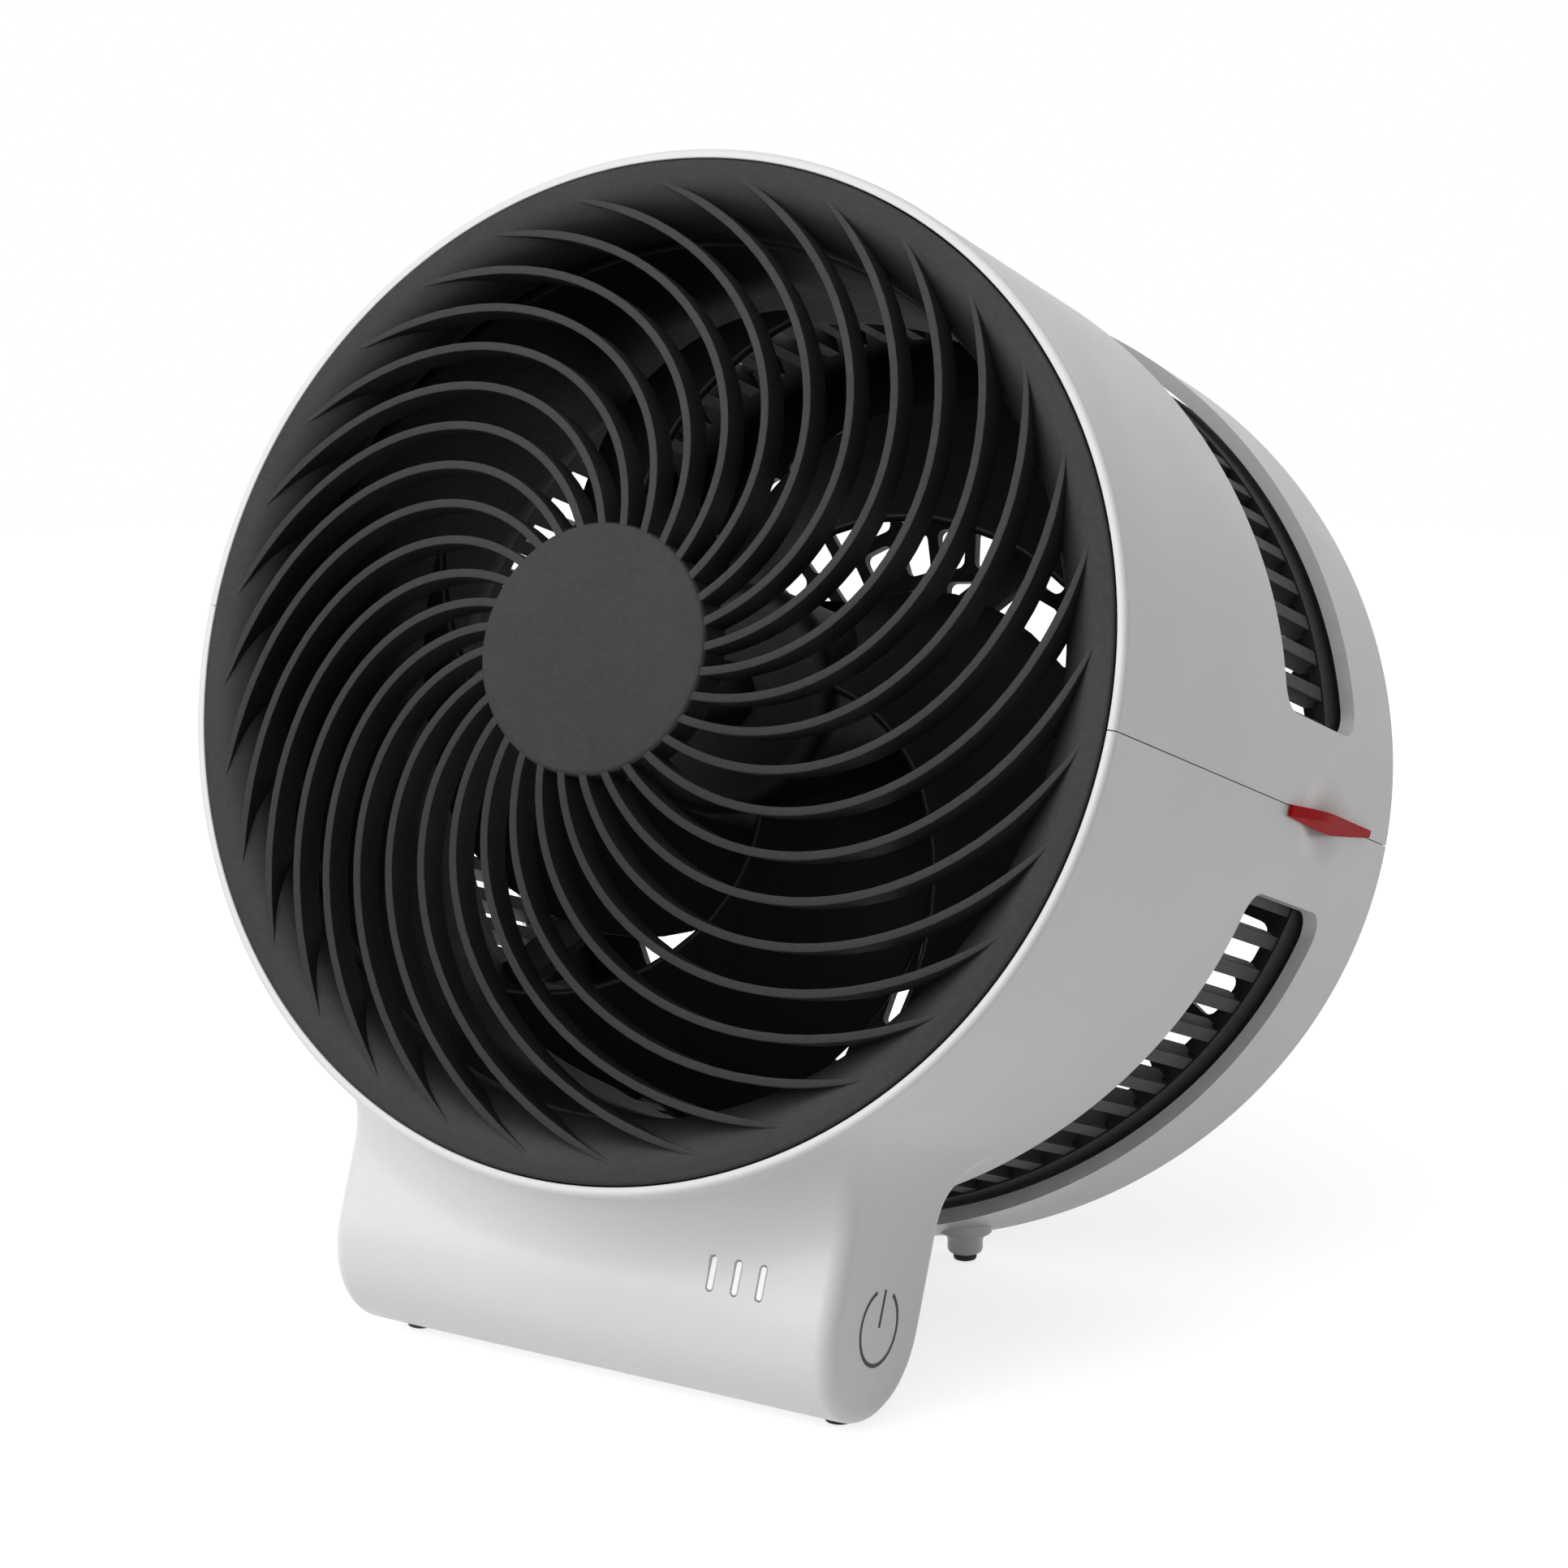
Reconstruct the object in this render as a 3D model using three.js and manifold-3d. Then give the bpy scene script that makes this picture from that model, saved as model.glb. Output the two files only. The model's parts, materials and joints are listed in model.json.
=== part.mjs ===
// Air circulator fan on a moulded leg: a tilted drum with a spiral front grille, an impeller on an
// outer-rotor motor, a shell in two halves with long intake slots, and a basket guard at the back.
// Units are millimetres and +Z is up. The fan stands on four pads and blows towards -Y, tilted up.
// In the tilted head, x runs to the right, y up in the plane of the grille's rim and z forwards
// along the fan's axis. "Back" is the distance behind the plane of the rim, so back is -z.

import * as THREE from 'three';
import { mergeVertices } from 'three/addons/utils/BufferGeometryUtils.js';
import Module from 'manifold-3d';

const wasm = await Module();
wasm.setup();

const { degToRad } = THREE.MathUtils;

// ---- Driving dimensions ----

const TILT = degToRad(22.3);
const REAR_CLEAR = 0.9; // lowest point of the drum's rear edge above the table
const FIT = 0.4; // gap between seated pieces
const RUN = 3; // gap between the blades' tips and the duct

// Front grille: a dome of spiral ribs between a hub disc and a rim that rolls inwards
const GRILLE_R = 125;
const GRILLE_WALL = 2.2;
const RIM_FLAT = 7;
const RIM_ROLL = 9.5;
const RIM_ROLL_DEPTH = 13;
const RIM_SKIRT = 14.3;
const GRILLE_HUB_R = 30.5;
const DOME_HEIGHT = 20.9; // from the rim's plane forward to the edge of the hub disc
const DOME_SAG = 1.3; // bulge of the ribs over a straight line from hub to rim
const HUB_CROWN = 1;
const RIB_COUNT = 32;
const RIB_WIDTH = 2.2;
const RIB_FOOT_WIDTH = 1.5;
const RIB_DEPTH = 9;
const RIB_TURN = degToRad(67.1); // how far a rib winds round from hub to rim
const RIB_STEADY = 0.63; // share of that turn made at a steady rate, the rest quickens outwards
const RIB_FIRST = degToRad(-3.4);

// Drum shell
const DRUM_DEPTH = 184; // along the axis, at mid height
const DRUM_DRAFT = degToRad(0.85);
const WALL = 2.8;
const LIP_ROUND = 2.2;
const EDGE_ARC_R = 414; // rear edge and slot edges are arcs of this radius in side view
const PARTING_GAP = 0.3;
const SEAT_RIB = 5; // height of the rib inside the shells that carries grille and duct
const SEAT_RIB_T = 2.5;

// Intake slots, over the top and under the bottom of the drum
const SLOT_FRONT = 104.5;
const SLOT_REAR = 154.5;
const SLOT_END = 23; // height of the slot's end above or below mid height
const SLOT_CORNER = 7;
const FLANGE_T = 2.5; // return flange along the slot's rear edge
const FLANGE_HEIGHT = 4.9;

// Leg
const LEG_HALF_WIDTH = 72;
const LEG_FRONT = 27;
const LEG_THICKNESS = 48;
const LEG_EDGE = 4.5; // rounding of the side edges
const LEG_FLARE = 30; // radius with which the sides sweep into the drum
const FRONT_FILLET = 19;
const REAR_FILLET = 8;

// Leg cover, at the back of the leg
const COVER_INSET = 1.5; // from the front feet's bosses
const COVER_DEPTH = 18; // how far it wraps round the leg's bottom
const SCREW_R = 1.1;
const SCREW_HEAD_R = 2.8;
const SCREW_HEAD_T = 1.4;
const BOSS_R = 3.6;
const BOSS_DEPTH = 13;

// Feet
const FRONT_FOOT_INSET = 10.75; // from the leg's side face
const FRONT_PAD_R = 4.5;
const PAD_PROUD = 2.1;
const PAD_SEAT = 1.6; // how deep a pad sits in its recess
const REAR_FOOT_X = 37.5;
const REAR_FOOT_INSET = 5.7; // from the drum's rear edge
const REAR_PAD_R = 3.1;
const STUB_R = 4.7;
const STUB_FLARE = 2.4;
const STUB_HEIGHT = 16; // before the drum cuts it

// Latch tabs on the parting line
const LATCH_FRONT = 110.6;
const LATCH_LENGTH = 58;
const LATCH_PROUD = 4.5;
const LATCH_END_PROUD = 1.2;
const LATCH_HEIGHT = 5.2;
const LATCH_END_HEIGHT = 2.3;
const LATCH_TRAVEL = 6;
const STEM_LENGTH = 18;
const STEM_HEIGHT = 2.8;
const SLIDER_HEIGHT = 10;
const SLIDER_LENGTH = 34;

// Air duct
const DUCT_WALL = 2;
const DUCT_INSET = 10; // rear end in front of the intake slots
const DUCT_LAND = 7.4; // width of the flange that the bracket sits on
const DUCT_TAPER = 22; // length of the slightly wider front end
const DUCT_WIDENING = 2;
const MOUTH_R = 4.5; // how far the rear mouth flares out
const MOUTH_LENGTH = 10;

// Impeller and motor
const BLADE_COUNT = 5;
const IMPELLER_HUB_R = 30;
const IMPELLER_LENGTH = 42;
const IMPELLER_INSET = 8.5; // rear end in front of the duct's rear end
const HUB_WALL = 2;
const BLADE_TURN = degToRad(34); // sweep of the blades from hub to tip
const BLADE_THICKNESS = 2.4;
const SHAFT_R = 3;
const BEARING_R = 5.4;
const BEARING_LENGTH = 5;
const TUBE_WALL = 2.2;
const CUP_WALL = 1.5;
const MAGNET_T = 2.4;
const CUP_INSET = 6; // behind the front face of the impeller's hub
const CUP_SHORT = 3; // in front of the hub's rear end
const TUBE_INSET = 7; // bearing tube behind the cup's face
const STATOR_INSET = 10; // stator behind the cup's face
const MOUNT_INSET = 3; // motor mount's plate behind the impeller
const STATOR_LENGTH = 16;
const STATOR_TEETH = 9;
const BRACKET_T = 3.2;
const BRACKET_ARMS = 4;
const ARM_WIDTH = 9;
const BRACKET_HUB_R = 34;

// Rear guard
const GUARD_WALL = 2.8;
const GUARD_T = 3.2; // back plate
const GUARD_INSET = 3.5; // back plate inside the shell's rear edge
const SIDE_PITCHES = 72;
const SIDE_BAR = 2.2;
const SIDE_BAND = 8; // solid band between the side bars and the slot's rear edge
const GUARD_RING_T = 3;
const HOOK_LENGTH = 9; // snap hooks that hold the back plate in the side guard
const HOOK_WIDTH = 12;
const HOOK_T = 1.8;
const GUARD_CENTRE_R = 42;
const GUARD_BORDER = 11.7; // width of the plate outside the outer row of openings
const ROW_EDGE = 4.5; // width of the ring between the two rows of openings
const INNER_ROW_BARS = 16;
const OUTER_ROW_BARS = 28;
const REAR_BAR = 5;

// Light bars and boards in the leg
const LIGHT_COUNT = 3;
const LIGHT_PITCH = 6.8;
const LIGHT_INSET = 20.9; // from the leg's side face to the last bar
const LIGHT_WIDTH = 1.5;
const LIGHT_LENGTH = 8.2;
const LIGHT_DEPTH = 6;
const LIGHT_HEIGHT = 29.4; // middle of the bars above the leg's bottom
const BOARD_T = 1.6;
const CONTROL_BOARD_HEIGHT = 22;
const TOUCH_BOARD_R = 10;
const LEAD_HOLE = 8; // square hole for the leads between drum and leg
const LEAD_HOLE_X = -30;
const INLET_R = 5.5;
const INLET_BORE_R = 3.2;
const INLET_PIN_R = 0.9;
const INLET_DEPTH = 12;

// How finely round shapes are faceted
const SHELL_FACETS = 40;
const ROUND_FACETS = 32;
const MOTOR_FACETS = 16;
const SMALL_FACETS = 12;
const TINY_FACETS = 8;
const EDGE_ARC_FACETS = 8;
const RIB_STEPS = 6;
const FAR = 400; // beyond the whole fan, for cutting solids

// ---- Sizes that follow ----

const shellFrontR = GRILLE_R + FIT + WALL;
const drumRadius = (back) => shellFrontR - back * Math.tan(DRUM_DRAFT);
const insideRadius = (back) => drumRadius(back) - WALL;

// Back of a point on an edge arc that crosses the axis at atAxis, for a height y.
const edgeArc = (atAxis, y) => atAxis - EDGE_ARC_R + Math.sqrt(EDGE_ARC_R ** 2 - y ** 2);

const domeEdgeR = GRILLE_R - RIM_FLAT;
const seatFront = RIM_SKIRT + FIT;
const seatRear = seatFront + SEAT_RIB_T;
const guardR = drumRadius(SLOT_REAR) - FLANGE_HEIGHT - FIT;
const ductFlangeR = guardR - GUARD_WALL;
const ductR = ductFlangeR - DUCT_LAND - MOUTH_R;
const ductFront = seatRear + FIT;
const ductRear = SLOT_FRONT - DUCT_INSET;
const bracketFront = ductRear + FIT;
const bracketRear = bracketFront + BRACKET_T;
const guardFront = bracketRear + FIT;
const screwCircleR = ductFlangeR - DUCT_LAND / 2;
const impellerRear = ductRear - IMPELLER_INSET;
const impellerFront = impellerRear - IMPELLER_LENGTH;
const bladeTipR = ductR - RUN;
const bladeMiddle = (impellerFront + impellerRear) / 2;
const cupR = IMPELLER_HUB_R - HUB_WALL - FIT;
const cupFront = impellerFront + CUP_INSET;
const cupRear = impellerRear - CUP_SHORT;
const magnetR = cupR - CUP_WALL - 0.3;
const statorR = magnetR - MAGNET_T - 0.8;
const statorFront = cupFront + STATOR_INSET;
const statorRear = statorFront + STATOR_LENGTH;
const tubeR = BEARING_R + TUBE_WALL;
const tubeFront = cupFront + TUBE_INSET;
const mountFront = impellerRear + MOUNT_INSET;
const mountRear = bracketFront - 0.3;

// The drum's rear edge just clears the table, and the leg is as long as that takes.
const sinTilt = Math.sin(TILT);
const cosTilt = Math.cos(TILT);
const rearEdgeR = drumRadius(DRUM_DEPTH);
const rearEdgeBack = edgeArc(DRUM_DEPTH, rearEdgeR);
const axisHeight = REAR_CLEAR + rearEdgeR * cosTilt + rearEdgeBack * sinTilt;
const legRear = LEG_FRONT + LEG_THICKNESS;
const legMiddle = LEG_FRONT + LEG_THICKNESS / 2;
const legRound = LEG_THICKNESS / 2;
const legRoundCentre = -(axisHeight - PAD_PROUD - legRound - legMiddle * sinTilt) / cosTilt;
const legBottom = legRoundCentre - legRound;
const coverTop = -drumRadius(legRear) - REAR_FILLET;
const frontFootX = LEG_HALF_WIDTH - FRONT_FOOT_INSET;
const padBossR = FRONT_PAD_R + FIT + WALL / 2;
const coverHalf = frontFootX - padBossR - COVER_INSET;
const coverScrewX = coverHalf - 7;
const coverScrewY = coverTop - SCREW_HEAD_R - 1;

// ---- Solids ----

function signedVolume(points, triangles) {
  const corners = [new THREE.Vector3(), new THREE.Vector3(), new THREE.Vector3()];
  let volume = 0;
  for (let i = 0; i < triangles.length; i += 3) {
    corners.forEach((corner, k) => corner.fromArray(points, 3 * triangles[i + k]));
    volume += corners[0].dot(corners[1].cross(corners[2])) / 6;
  }
  return volume;
}

// A geometry becomes a solid: corners merged, slivers dropped, faces turned outwards.
function solid(geometry) {
  const bare = new THREE.BufferGeometry();
  bare.setAttribute('position', geometry.attributes.position);
  bare.setIndex(geometry.index);
  const merged = mergeVertices(bare, 1e-4);
  const points = merged.attributes.position.array;
  const triangles = [];
  for (let i = 0; i < merged.index.count; i += 3) {
    const [a, b, c] = [0, 1, 2].map((k) => merged.index.getX(i + k));
    if (a !== b && b !== c && c !== a) triangles.push(a, b, c);
  }
  if (signedVolume(points, triangles) < 0) triangles.reverse();
  return new wasm.Manifold(new wasm.Mesh({
    numProp: 3,
    vertProperties: Float32Array.from(points),
    triVerts: Uint32Array.from(triangles),
  }));
}

function geometryOf(body) {
  const { vertProperties, numProp, triVerts } = body.getMesh();
  const geometry = new THREE.BufferGeometry();
  geometry.setAttribute('position', new THREE.BufferAttribute(vertProperties, numProp));
  geometry.setIndex(new THREE.BufferAttribute(triVerts, 1));
  geometry.computeVertexNormals();
  return geometry;
}

const union = (bodies) => bodies.reduce((whole, body) => whole.add(body));

// Turned about the fan's axis; a profile point is [radius, back].
function turned(profile, facets = ROUND_FACETS) {
  const ring = [...profile, profile[0]].map(([radius, back]) => new THREE.Vector2(radius, back));
  return solid(new THREE.LatheGeometry(ring, facets).rotateX(-Math.PI / 2));
}

const tube = (inner, outer, front, rear, facets) => turned(
  [[inner, front], [outer, front], [outer, rear], [inner, rear]],
  facets,
);

const disc = (radius, front, rear, facets) => tube(0, radius, front, rear, facets);

const outline = (points) => new THREE.Shape(points.map(([a, b]) => new THREE.Vector2(a, b)));

// Extruded with all its edges rounded by the same radius, between 0 and the given length.
function extruded(shape, length, round = 0, curveSegments = 12) {
  const geometry = new THREE.ExtrudeGeometry(shape, {
    depth: length - 2 * round,
    steps: 1,
    curveSegments,
    bevelEnabled: round > 0,
    bevelSegments: 2,
    bevelSize: round,
    bevelThickness: round,
    bevelOffset: -round,
  });
  return geometry.translate(0, 0, round);
}

// An outline of [x, y] points or a shape, extruded from front to rear.
function alongAxis(shape, front, rear, round, curveSegments) {
  const flip = new THREE.Matrix4().makeScale(1, 1, -1);
  const geometry = extruded(shape, rear - front, round, curveSegments);
  return solid(geometry.translate(0, 0, front).applyMatrix4(flip));
}

// An outline drawn as [y, back], extruded across the fan from -halfWidth to halfWidth.
function acrossFan(shape, halfWidth, round, curveSegments) {
  const turn = new THREE.Matrix4().set(0, 0, 1, 0, 1, 0, 0, 0, 0, -1, 0, 0, 0, 0, 0, 1);
  const geometry = extruded(shape, 2 * halfWidth, round, curveSegments);
  return solid(geometry.translate(0, 0, -halfWidth).applyMatrix4(turn));
}

function block(x0, x1, y0, y1, front, rear) {
  const geometry = new THREE.BoxGeometry(x1 - x0, y1 - y0, rear - front);
  return solid(geometry.translate((x0 + x1) / 2, (y0 + y1) / 2, -(front + rear) / 2));
}

function pin(x, y, radius, front, rear, facets = TINY_FACETS) {
  const geometry = new THREE.CylinderGeometry(radius, radius, rear - front, facets);
  return solid(geometry.rotateX(Math.PI / 2).translate(x, y, -(front + rear) / 2));
}

// A closed skin over matching rings of points, with flat ends.
function loft(rings) {
  const count = rings[0].length;
  const last = (rings.length - 1) * count;
  const triangles = [];
  for (let start = 0; start < last; start += count) {
    for (let j = 0; j < count; j++) {
      const here = start + j;
      const next = start + ((j + 1) % count);
      triangles.push(here, next, next + count, here, next + count, here + count);
    }
  }
  for (let j = 1; j + 1 < count; j++) {
    triangles.push(0, j + 1, j, last, last + j, last + j + 1);
  }
  const geometry = new THREE.BufferGeometry().setFromPoints(rings.flat());
  return solid(geometry.setIndex(triangles));
}

// Turned about an upright line through [x, y] of the disc's centre; a point is [radius, height].
const headTurn = new THREE.Matrix4().makeRotationX(Math.PI / 2 - TILT);
const headTurnBack = headTurn.clone().invert();

function upright(x, y, profile, facets = SMALL_FACETS) {
  const ring = [...profile, profile[0]].map(([radius, height]) => new THREE.Vector2(radius, height));
  const geometry = new THREE.LatheGeometry(ring, facets).rotateX(Math.PI / 2);
  return solid(geometry.translate(x, y, -axisHeight).applyMatrix4(headTurnBack));
}

const post = (x, y, radius, bottom, top) => upright(
  x,
  y,
  [[0, bottom], [radius, bottom], [radius, top], [0, top]],
);

// A copy of a solid, mirrored left to right or top to bottom.
const mirrored = (body, x, y) => solid(geometryOf(body).scale(x, y, 1));

const around = (count, make) => Array.from({ length: count }, (_, i) => make(i));

// A copy of a geometry's solid turned about the fan's axis.
function spun(geometry, angle) {
  return solid(geometry.clone().rotateZ(angle));
}

// ---- Shells ----

// Everything between two edge arcs.
function arcSlab(front, rear) {
  const reach = GRILLE_R * 1.2;
  const spread = Math.acos(reach / EDGE_ARC_R);
  const shape = new THREE.Shape();
  shape.absarc(0, front - EDGE_ARC_R, EDGE_ARC_R, spread, Math.PI - spread, false);
  shape.absarc(0, rear - EDGE_ARC_R, EDGE_ARC_R, Math.PI - spread, spread, true);
  return acrossFan(shape, reach, 0, EDGE_ARC_FACETS);
}

// The slot's outline in side view: two edge arcs and an end with round corners.
function slotCutter(side) {
  const high = GRILLE_R * 1.1;
  const onArc = (y) => Math.acos(y / EDGE_ARC_R);
  const endArcs = [SLOT_FRONT, SLOT_REAR].map((at) => edgeArc(at, SLOT_END + SLOT_CORNER));
  const shape = new THREE.Shape();
  shape.moveTo(SLOT_END, endArcs[1] - SLOT_CORNER);
  shape.lineTo(SLOT_END, endArcs[0] + SLOT_CORNER);
  shape.quadraticCurveTo(SLOT_END, endArcs[0], SLOT_END + SLOT_CORNER, endArcs[0]);
  const near = SLOT_END + SLOT_CORNER;
  shape.absarc(0, SLOT_FRONT - EDGE_ARC_R, EDGE_ARC_R, onArc(near), onArc(high), true);
  shape.absarc(0, SLOT_REAR - EDGE_ARC_R, EDGE_ARC_R, onArc(high), onArc(near), false);
  shape.quadraticCurveTo(SLOT_END, endArcs[1], SLOT_END, endArcs[1] - SLOT_CORNER);
  const cutter = acrossFan(shape, FAR, 0, EDGE_ARC_FACETS / 2);
  return side > 0 ? cutter : mirrored(cutter, 1, -1);
}

const drumSolid = turned(
  [[0, 0], [drumRadius(0), 0], [drumRadius(FAR), FAR], [0, FAR]],
  SHELL_FACETS,
);

// Up to the middle of the drum's wall: what is joined to the wall starts there.
const drumCore = turned(
  [[0, 0], [drumRadius(0) - WALL / 2, 0], [drumRadius(FAR) - WALL / 2, FAR], [0, FAR]],
  SHELL_FACETS,
);

function drumTube() {
  const beyond = DRUM_DEPTH + LIP_ROUND;
  const seatR = insideRadius(seatFront) - SEAT_RIB;
  const lip = around(3, (i) => {
    const turn = (i / 2) * (Math.PI / 2);
    const radius = drumRadius(LIP_ROUND) - LIP_ROUND * (1 - Math.sin(turn));
    return [radius, LIP_ROUND * (1 - Math.cos(turn))];
  });
  const wall = turned([
    [insideRadius(0), 0.6],
    ...lip,
    [drumRadius(beyond), beyond],
    [insideRadius(beyond), beyond],
    [insideRadius(seatRear), seatRear],
    [seatR, seatRear],
    [seatR, seatFront],
    [insideRadius(seatFront), seatFront],
  ], SHELL_FACETS);
  return wall.intersect(arcSlab(-FAR / 4, DRUM_DEPTH));
}

// Return flange along a slot's rear edge, which hides the edge of the guard.
function slotFlange(side) {
  const root = drumRadius(SLOT_REAR) - WALL / 2;
  const low = edgeArc(SLOT_REAR, GRILLE_R) - FLANGE_T;
  return tube(guardR + FIT, root, low, SLOT_REAR + FLANGE_T, SHELL_FACETS)
    .intersect(arcSlab(SLOT_REAR - 1, SLOT_REAR + FLANGE_T))
    .intersect(halfSpace(side, SLOT_END));
}

// Everything above (side 1) or below (side -1) a height measured from the parting line.
function halfSpace(side, height) {
  const [low, high] = side > 0 ? [height, FAR] : [-FAR, -height];
  return block(-FAR, FAR, low, high, -FAR, FAR);
}

const latchMiddle = LATCH_FRONT + LATCH_LENGTH / 2;
const stemFront = latchMiddle - STEM_LENGTH / 2;
const stemRear = latchMiddle + STEM_LENGTH / 2;

function latchSlit(side) {
  const [x0, x1] = side > 0 ? [GRILLE_R - 8, GRILLE_R + 8] : [-GRILLE_R - 8, -GRILLE_R + 8];
  const half = STEM_HEIGHT / 2 + FIT;
  return block(x0, x1, -half, half, stemFront - FIT, stemRear + LATCH_TRAVEL + FIT);
}

function shellHalf(side, body) {
  return body
    .intersect(halfSpace(side, PARTING_GAP / 2))
    .add(slotFlange(side))
    .subtract(slotCutter(side))
    .subtract(union([latchSlit(1), latchSlit(-1)]));
}

const upperShell = shellHalf(1, drumTube());

// ---- Leg ----

// The leg's upright outline with sides that sweep into the drum, as [x, y].
function flareOutline(inset, bottom) {
  const side = LEG_HALF_WIDTH - inset;
  const drum = drumRadius(legMiddle);
  const radius = LEG_FLARE + inset;
  const centreX = side + radius;
  const centreY = -Math.sqrt((drum + LEG_FLARE) ** 2 - (LEG_HALF_WIDTH + LEG_FLARE) ** 2);
  const end = Math.atan2(-centreY, -centreX);
  const root = 0.93;
  const landX = centreX + radius * Math.cos(end);
  const landY = centreY + radius * Math.sin(end);
  const shape = new THREE.Shape();
  shape.moveTo(-side, bottom);
  shape.lineTo(side, bottom);
  shape.absarc(centreX, centreY, radius, Math.PI, end, true);
  shape.lineTo(landX * root, landY * root);
  shape.lineTo(-landX * root, landY * root);
  shape.absarc(-centreX, centreY, radius, Math.PI - end, 0, true);
  return shape;
}

// The leg's side view, a bar with a round bottom, drawn as [y, back].
function legSideView(inset, top) {
  const shape = new THREE.Shape();
  shape.moveTo(top, legRear - inset);
  shape.lineTo(legRoundCentre, legRear - inset);
  shape.absarc(legRoundCentre, legMiddle, legRound - inset, Math.PI / 2, (Math.PI * 3) / 2, false);
  shape.lineTo(top, LEG_FRONT + inset);
  return shape;
}

const insideDrumTop = -Math.sqrt((insideRadius(legMiddle) - 4) ** 2 - LEG_HALF_WIDTH ** 2);
const flareStart = -Math.sqrt(
  (drumRadius(legMiddle) + LEG_FLARE) ** 2 - (LEG_HALF_WIDTH + LEG_FLARE) ** 2,
);

// Hollow fillet between the drum and the face of the leg at the given back.
function ringFillet(face, radius, towards) {
  const drum = drumRadius(face);
  const arc = around(5, (i) => {
    const turn = (i / 4) * (Math.PI / 2);
    return [drum + radius * (1 - Math.cos(turn)), face + towards * radius * (1 - Math.sin(turn))];
  });
  const inwards = face - towards * LEG_EDGE;
  return turned(
    [[drum - WALL, arc[0][1]], ...arc, [drum + radius, inwards], [drum - WALL, inwards]],
    SHELL_FACETS,
  );
}

const legBody = acrossFan(legSideView(0, insideDrumTop), LEG_HALF_WIDTH, LEG_EDGE, 5);
const flareBody = alongAxis(flareOutline(0, flareStart), LEG_FRONT, legRear, LEG_EDGE, 5);
const filletSides = alongAxis(flareOutline(LEG_EDGE / 2, legBottom), -FAR / 4, FAR, 0, 5);
const fillets = ringFillet(LEG_FRONT, FRONT_FILLET, -1)
  .add(ringFillet(legRear, REAR_FILLET, 1))
  .intersect(filletSides);
const legSolid = union([legBody, flareBody, fillets]);

const legCavity = acrossFan(legSideView(WALL, insideDrumTop), LEG_HALF_WIDTH - WALL, 0, 5)
  .subtract(drumSolid);

const legOuter = legSolid.subtract(drumCore);

const coverBlock = (gap) => block(
  -coverHalf - gap,
  coverHalf + gap,
  -FAR,
  coverTop + gap,
  legRear - COVER_DEPTH - gap,
  FAR,
);

const inletY = coverTop - INLET_R - FIT - 2;
const coverInside = legRear - WALL;

const legCover = legOuter
  .subtract(legCavity)
  .intersect(coverBlock(0))
  .subtract(pin(0, inletY, INLET_R + FIT, coverInside - WALL, legRear + 1, SMALL_FACETS))
  .subtract(union([-coverScrewX, coverScrewX].flatMap((x) => [
    pin(x, coverScrewY, SCREW_R + FIT, coverInside - 1, legRear + 1),
    pin(x, coverScrewY, SCREW_HEAD_R + FIT, legRear - SCREW_HEAD_T - FIT, legRear + 1),
  ])));

// Bosses that the cover's screws bite into, each on a web that hangs from the drum.
const coverPosts = [-coverScrewX, coverScrewX].map((x) => {
  const span = [coverInside - BOSS_DEPTH, coverInside - FIT];
  return pin(x, coverScrewY, BOSS_R, ...span)
    .add(block(x - WALL / 2, x + WALL / 2, coverScrewY, -drumRadius(0) * 0.8, ...span))
    .subtract(drumCore);
});
const coverPilots = [-coverScrewX, coverScrewX].map((x) => pin(
  x,
  coverScrewY,
  SCREW_R + 0.3,
  coverInside - BOSS_DEPTH + 2,
  coverInside,
));

// ---- Feet ----

const frontFootY = legRoundCentre * sinTilt + legMiddle * cosTilt;
const rearFootDrop = Math.sqrt(rearEdgeR ** 2 - REAR_FOOT_X ** 2);
const rearFootY = edgeArc(DRUM_DEPTH, rearFootDrop) * cosTilt
  - rearFootDrop * sinTilt
  - REAR_FOOT_INSET;

const feet = [
  { name: 'foot_pad_front_left', x: -frontFootX, y: frontFootY, radius: FRONT_PAD_R },
  { name: 'foot_pad_front_right', x: frontFootX, y: frontFootY, radius: FRONT_PAD_R },
  { name: 'foot_pad_rear_left', x: -REAR_FOOT_X, y: rearFootY, radius: REAR_PAD_R },
  { name: 'foot_pad_rear_right', x: REAR_FOOT_X, y: rearFootY, radius: REAR_PAD_R },
];

const footPad = ({ x, y, radius }) => upright(x, y, [
  [0, 0],
  [radius - 0.6, 0],
  [radius, 0.6],
  [radius, PAD_PROUD + PAD_SEAT],
  [0, PAD_PROUD + PAD_SEAT],
]);

const footRecess = ({ x, y, radius }) => post(
  x,
  y,
  radius + FIT,
  PAD_PROUD - 1,
  PAD_PROUD + PAD_SEAT + FIT,
);

// The rear stubs are moulded on the lower shell and flare into the drum.
function footStub(x) {
  const flare = around(3, (i) => {
    const turn = (i / 2) * (Math.PI / 2);
    return [STUB_R + STUB_FLARE * (1 - Math.cos(turn)), PAD_PROUD + 3 + 3 * Math.sin(turn)];
  });
  return upright(x, rearFootY, [
    [0, PAD_PROUD],
    [STUB_R - 1, PAD_PROUD],
    [STUB_R, PAD_PROUD + 1],
    ...flare,
    [STUB_R + STUB_FLARE, PAD_PROUD + STUB_HEIGHT],
    [0, PAD_PROUD + STUB_HEIGHT],
  ], TINY_FACETS);
}

// Bosses over the front pads' recesses, inside the leg.
const padBosses = [-frontFootX, frontFootX].map((x) => post(
  x,
  frontFootY,
  padBossR,
  PAD_PROUD + WALL / 2,
  PAD_PROUD + PAD_SEAT + 2 * WALL,
)).map((body) => body.intersect(legSolid));

// ---- Lower shell ----

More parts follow.
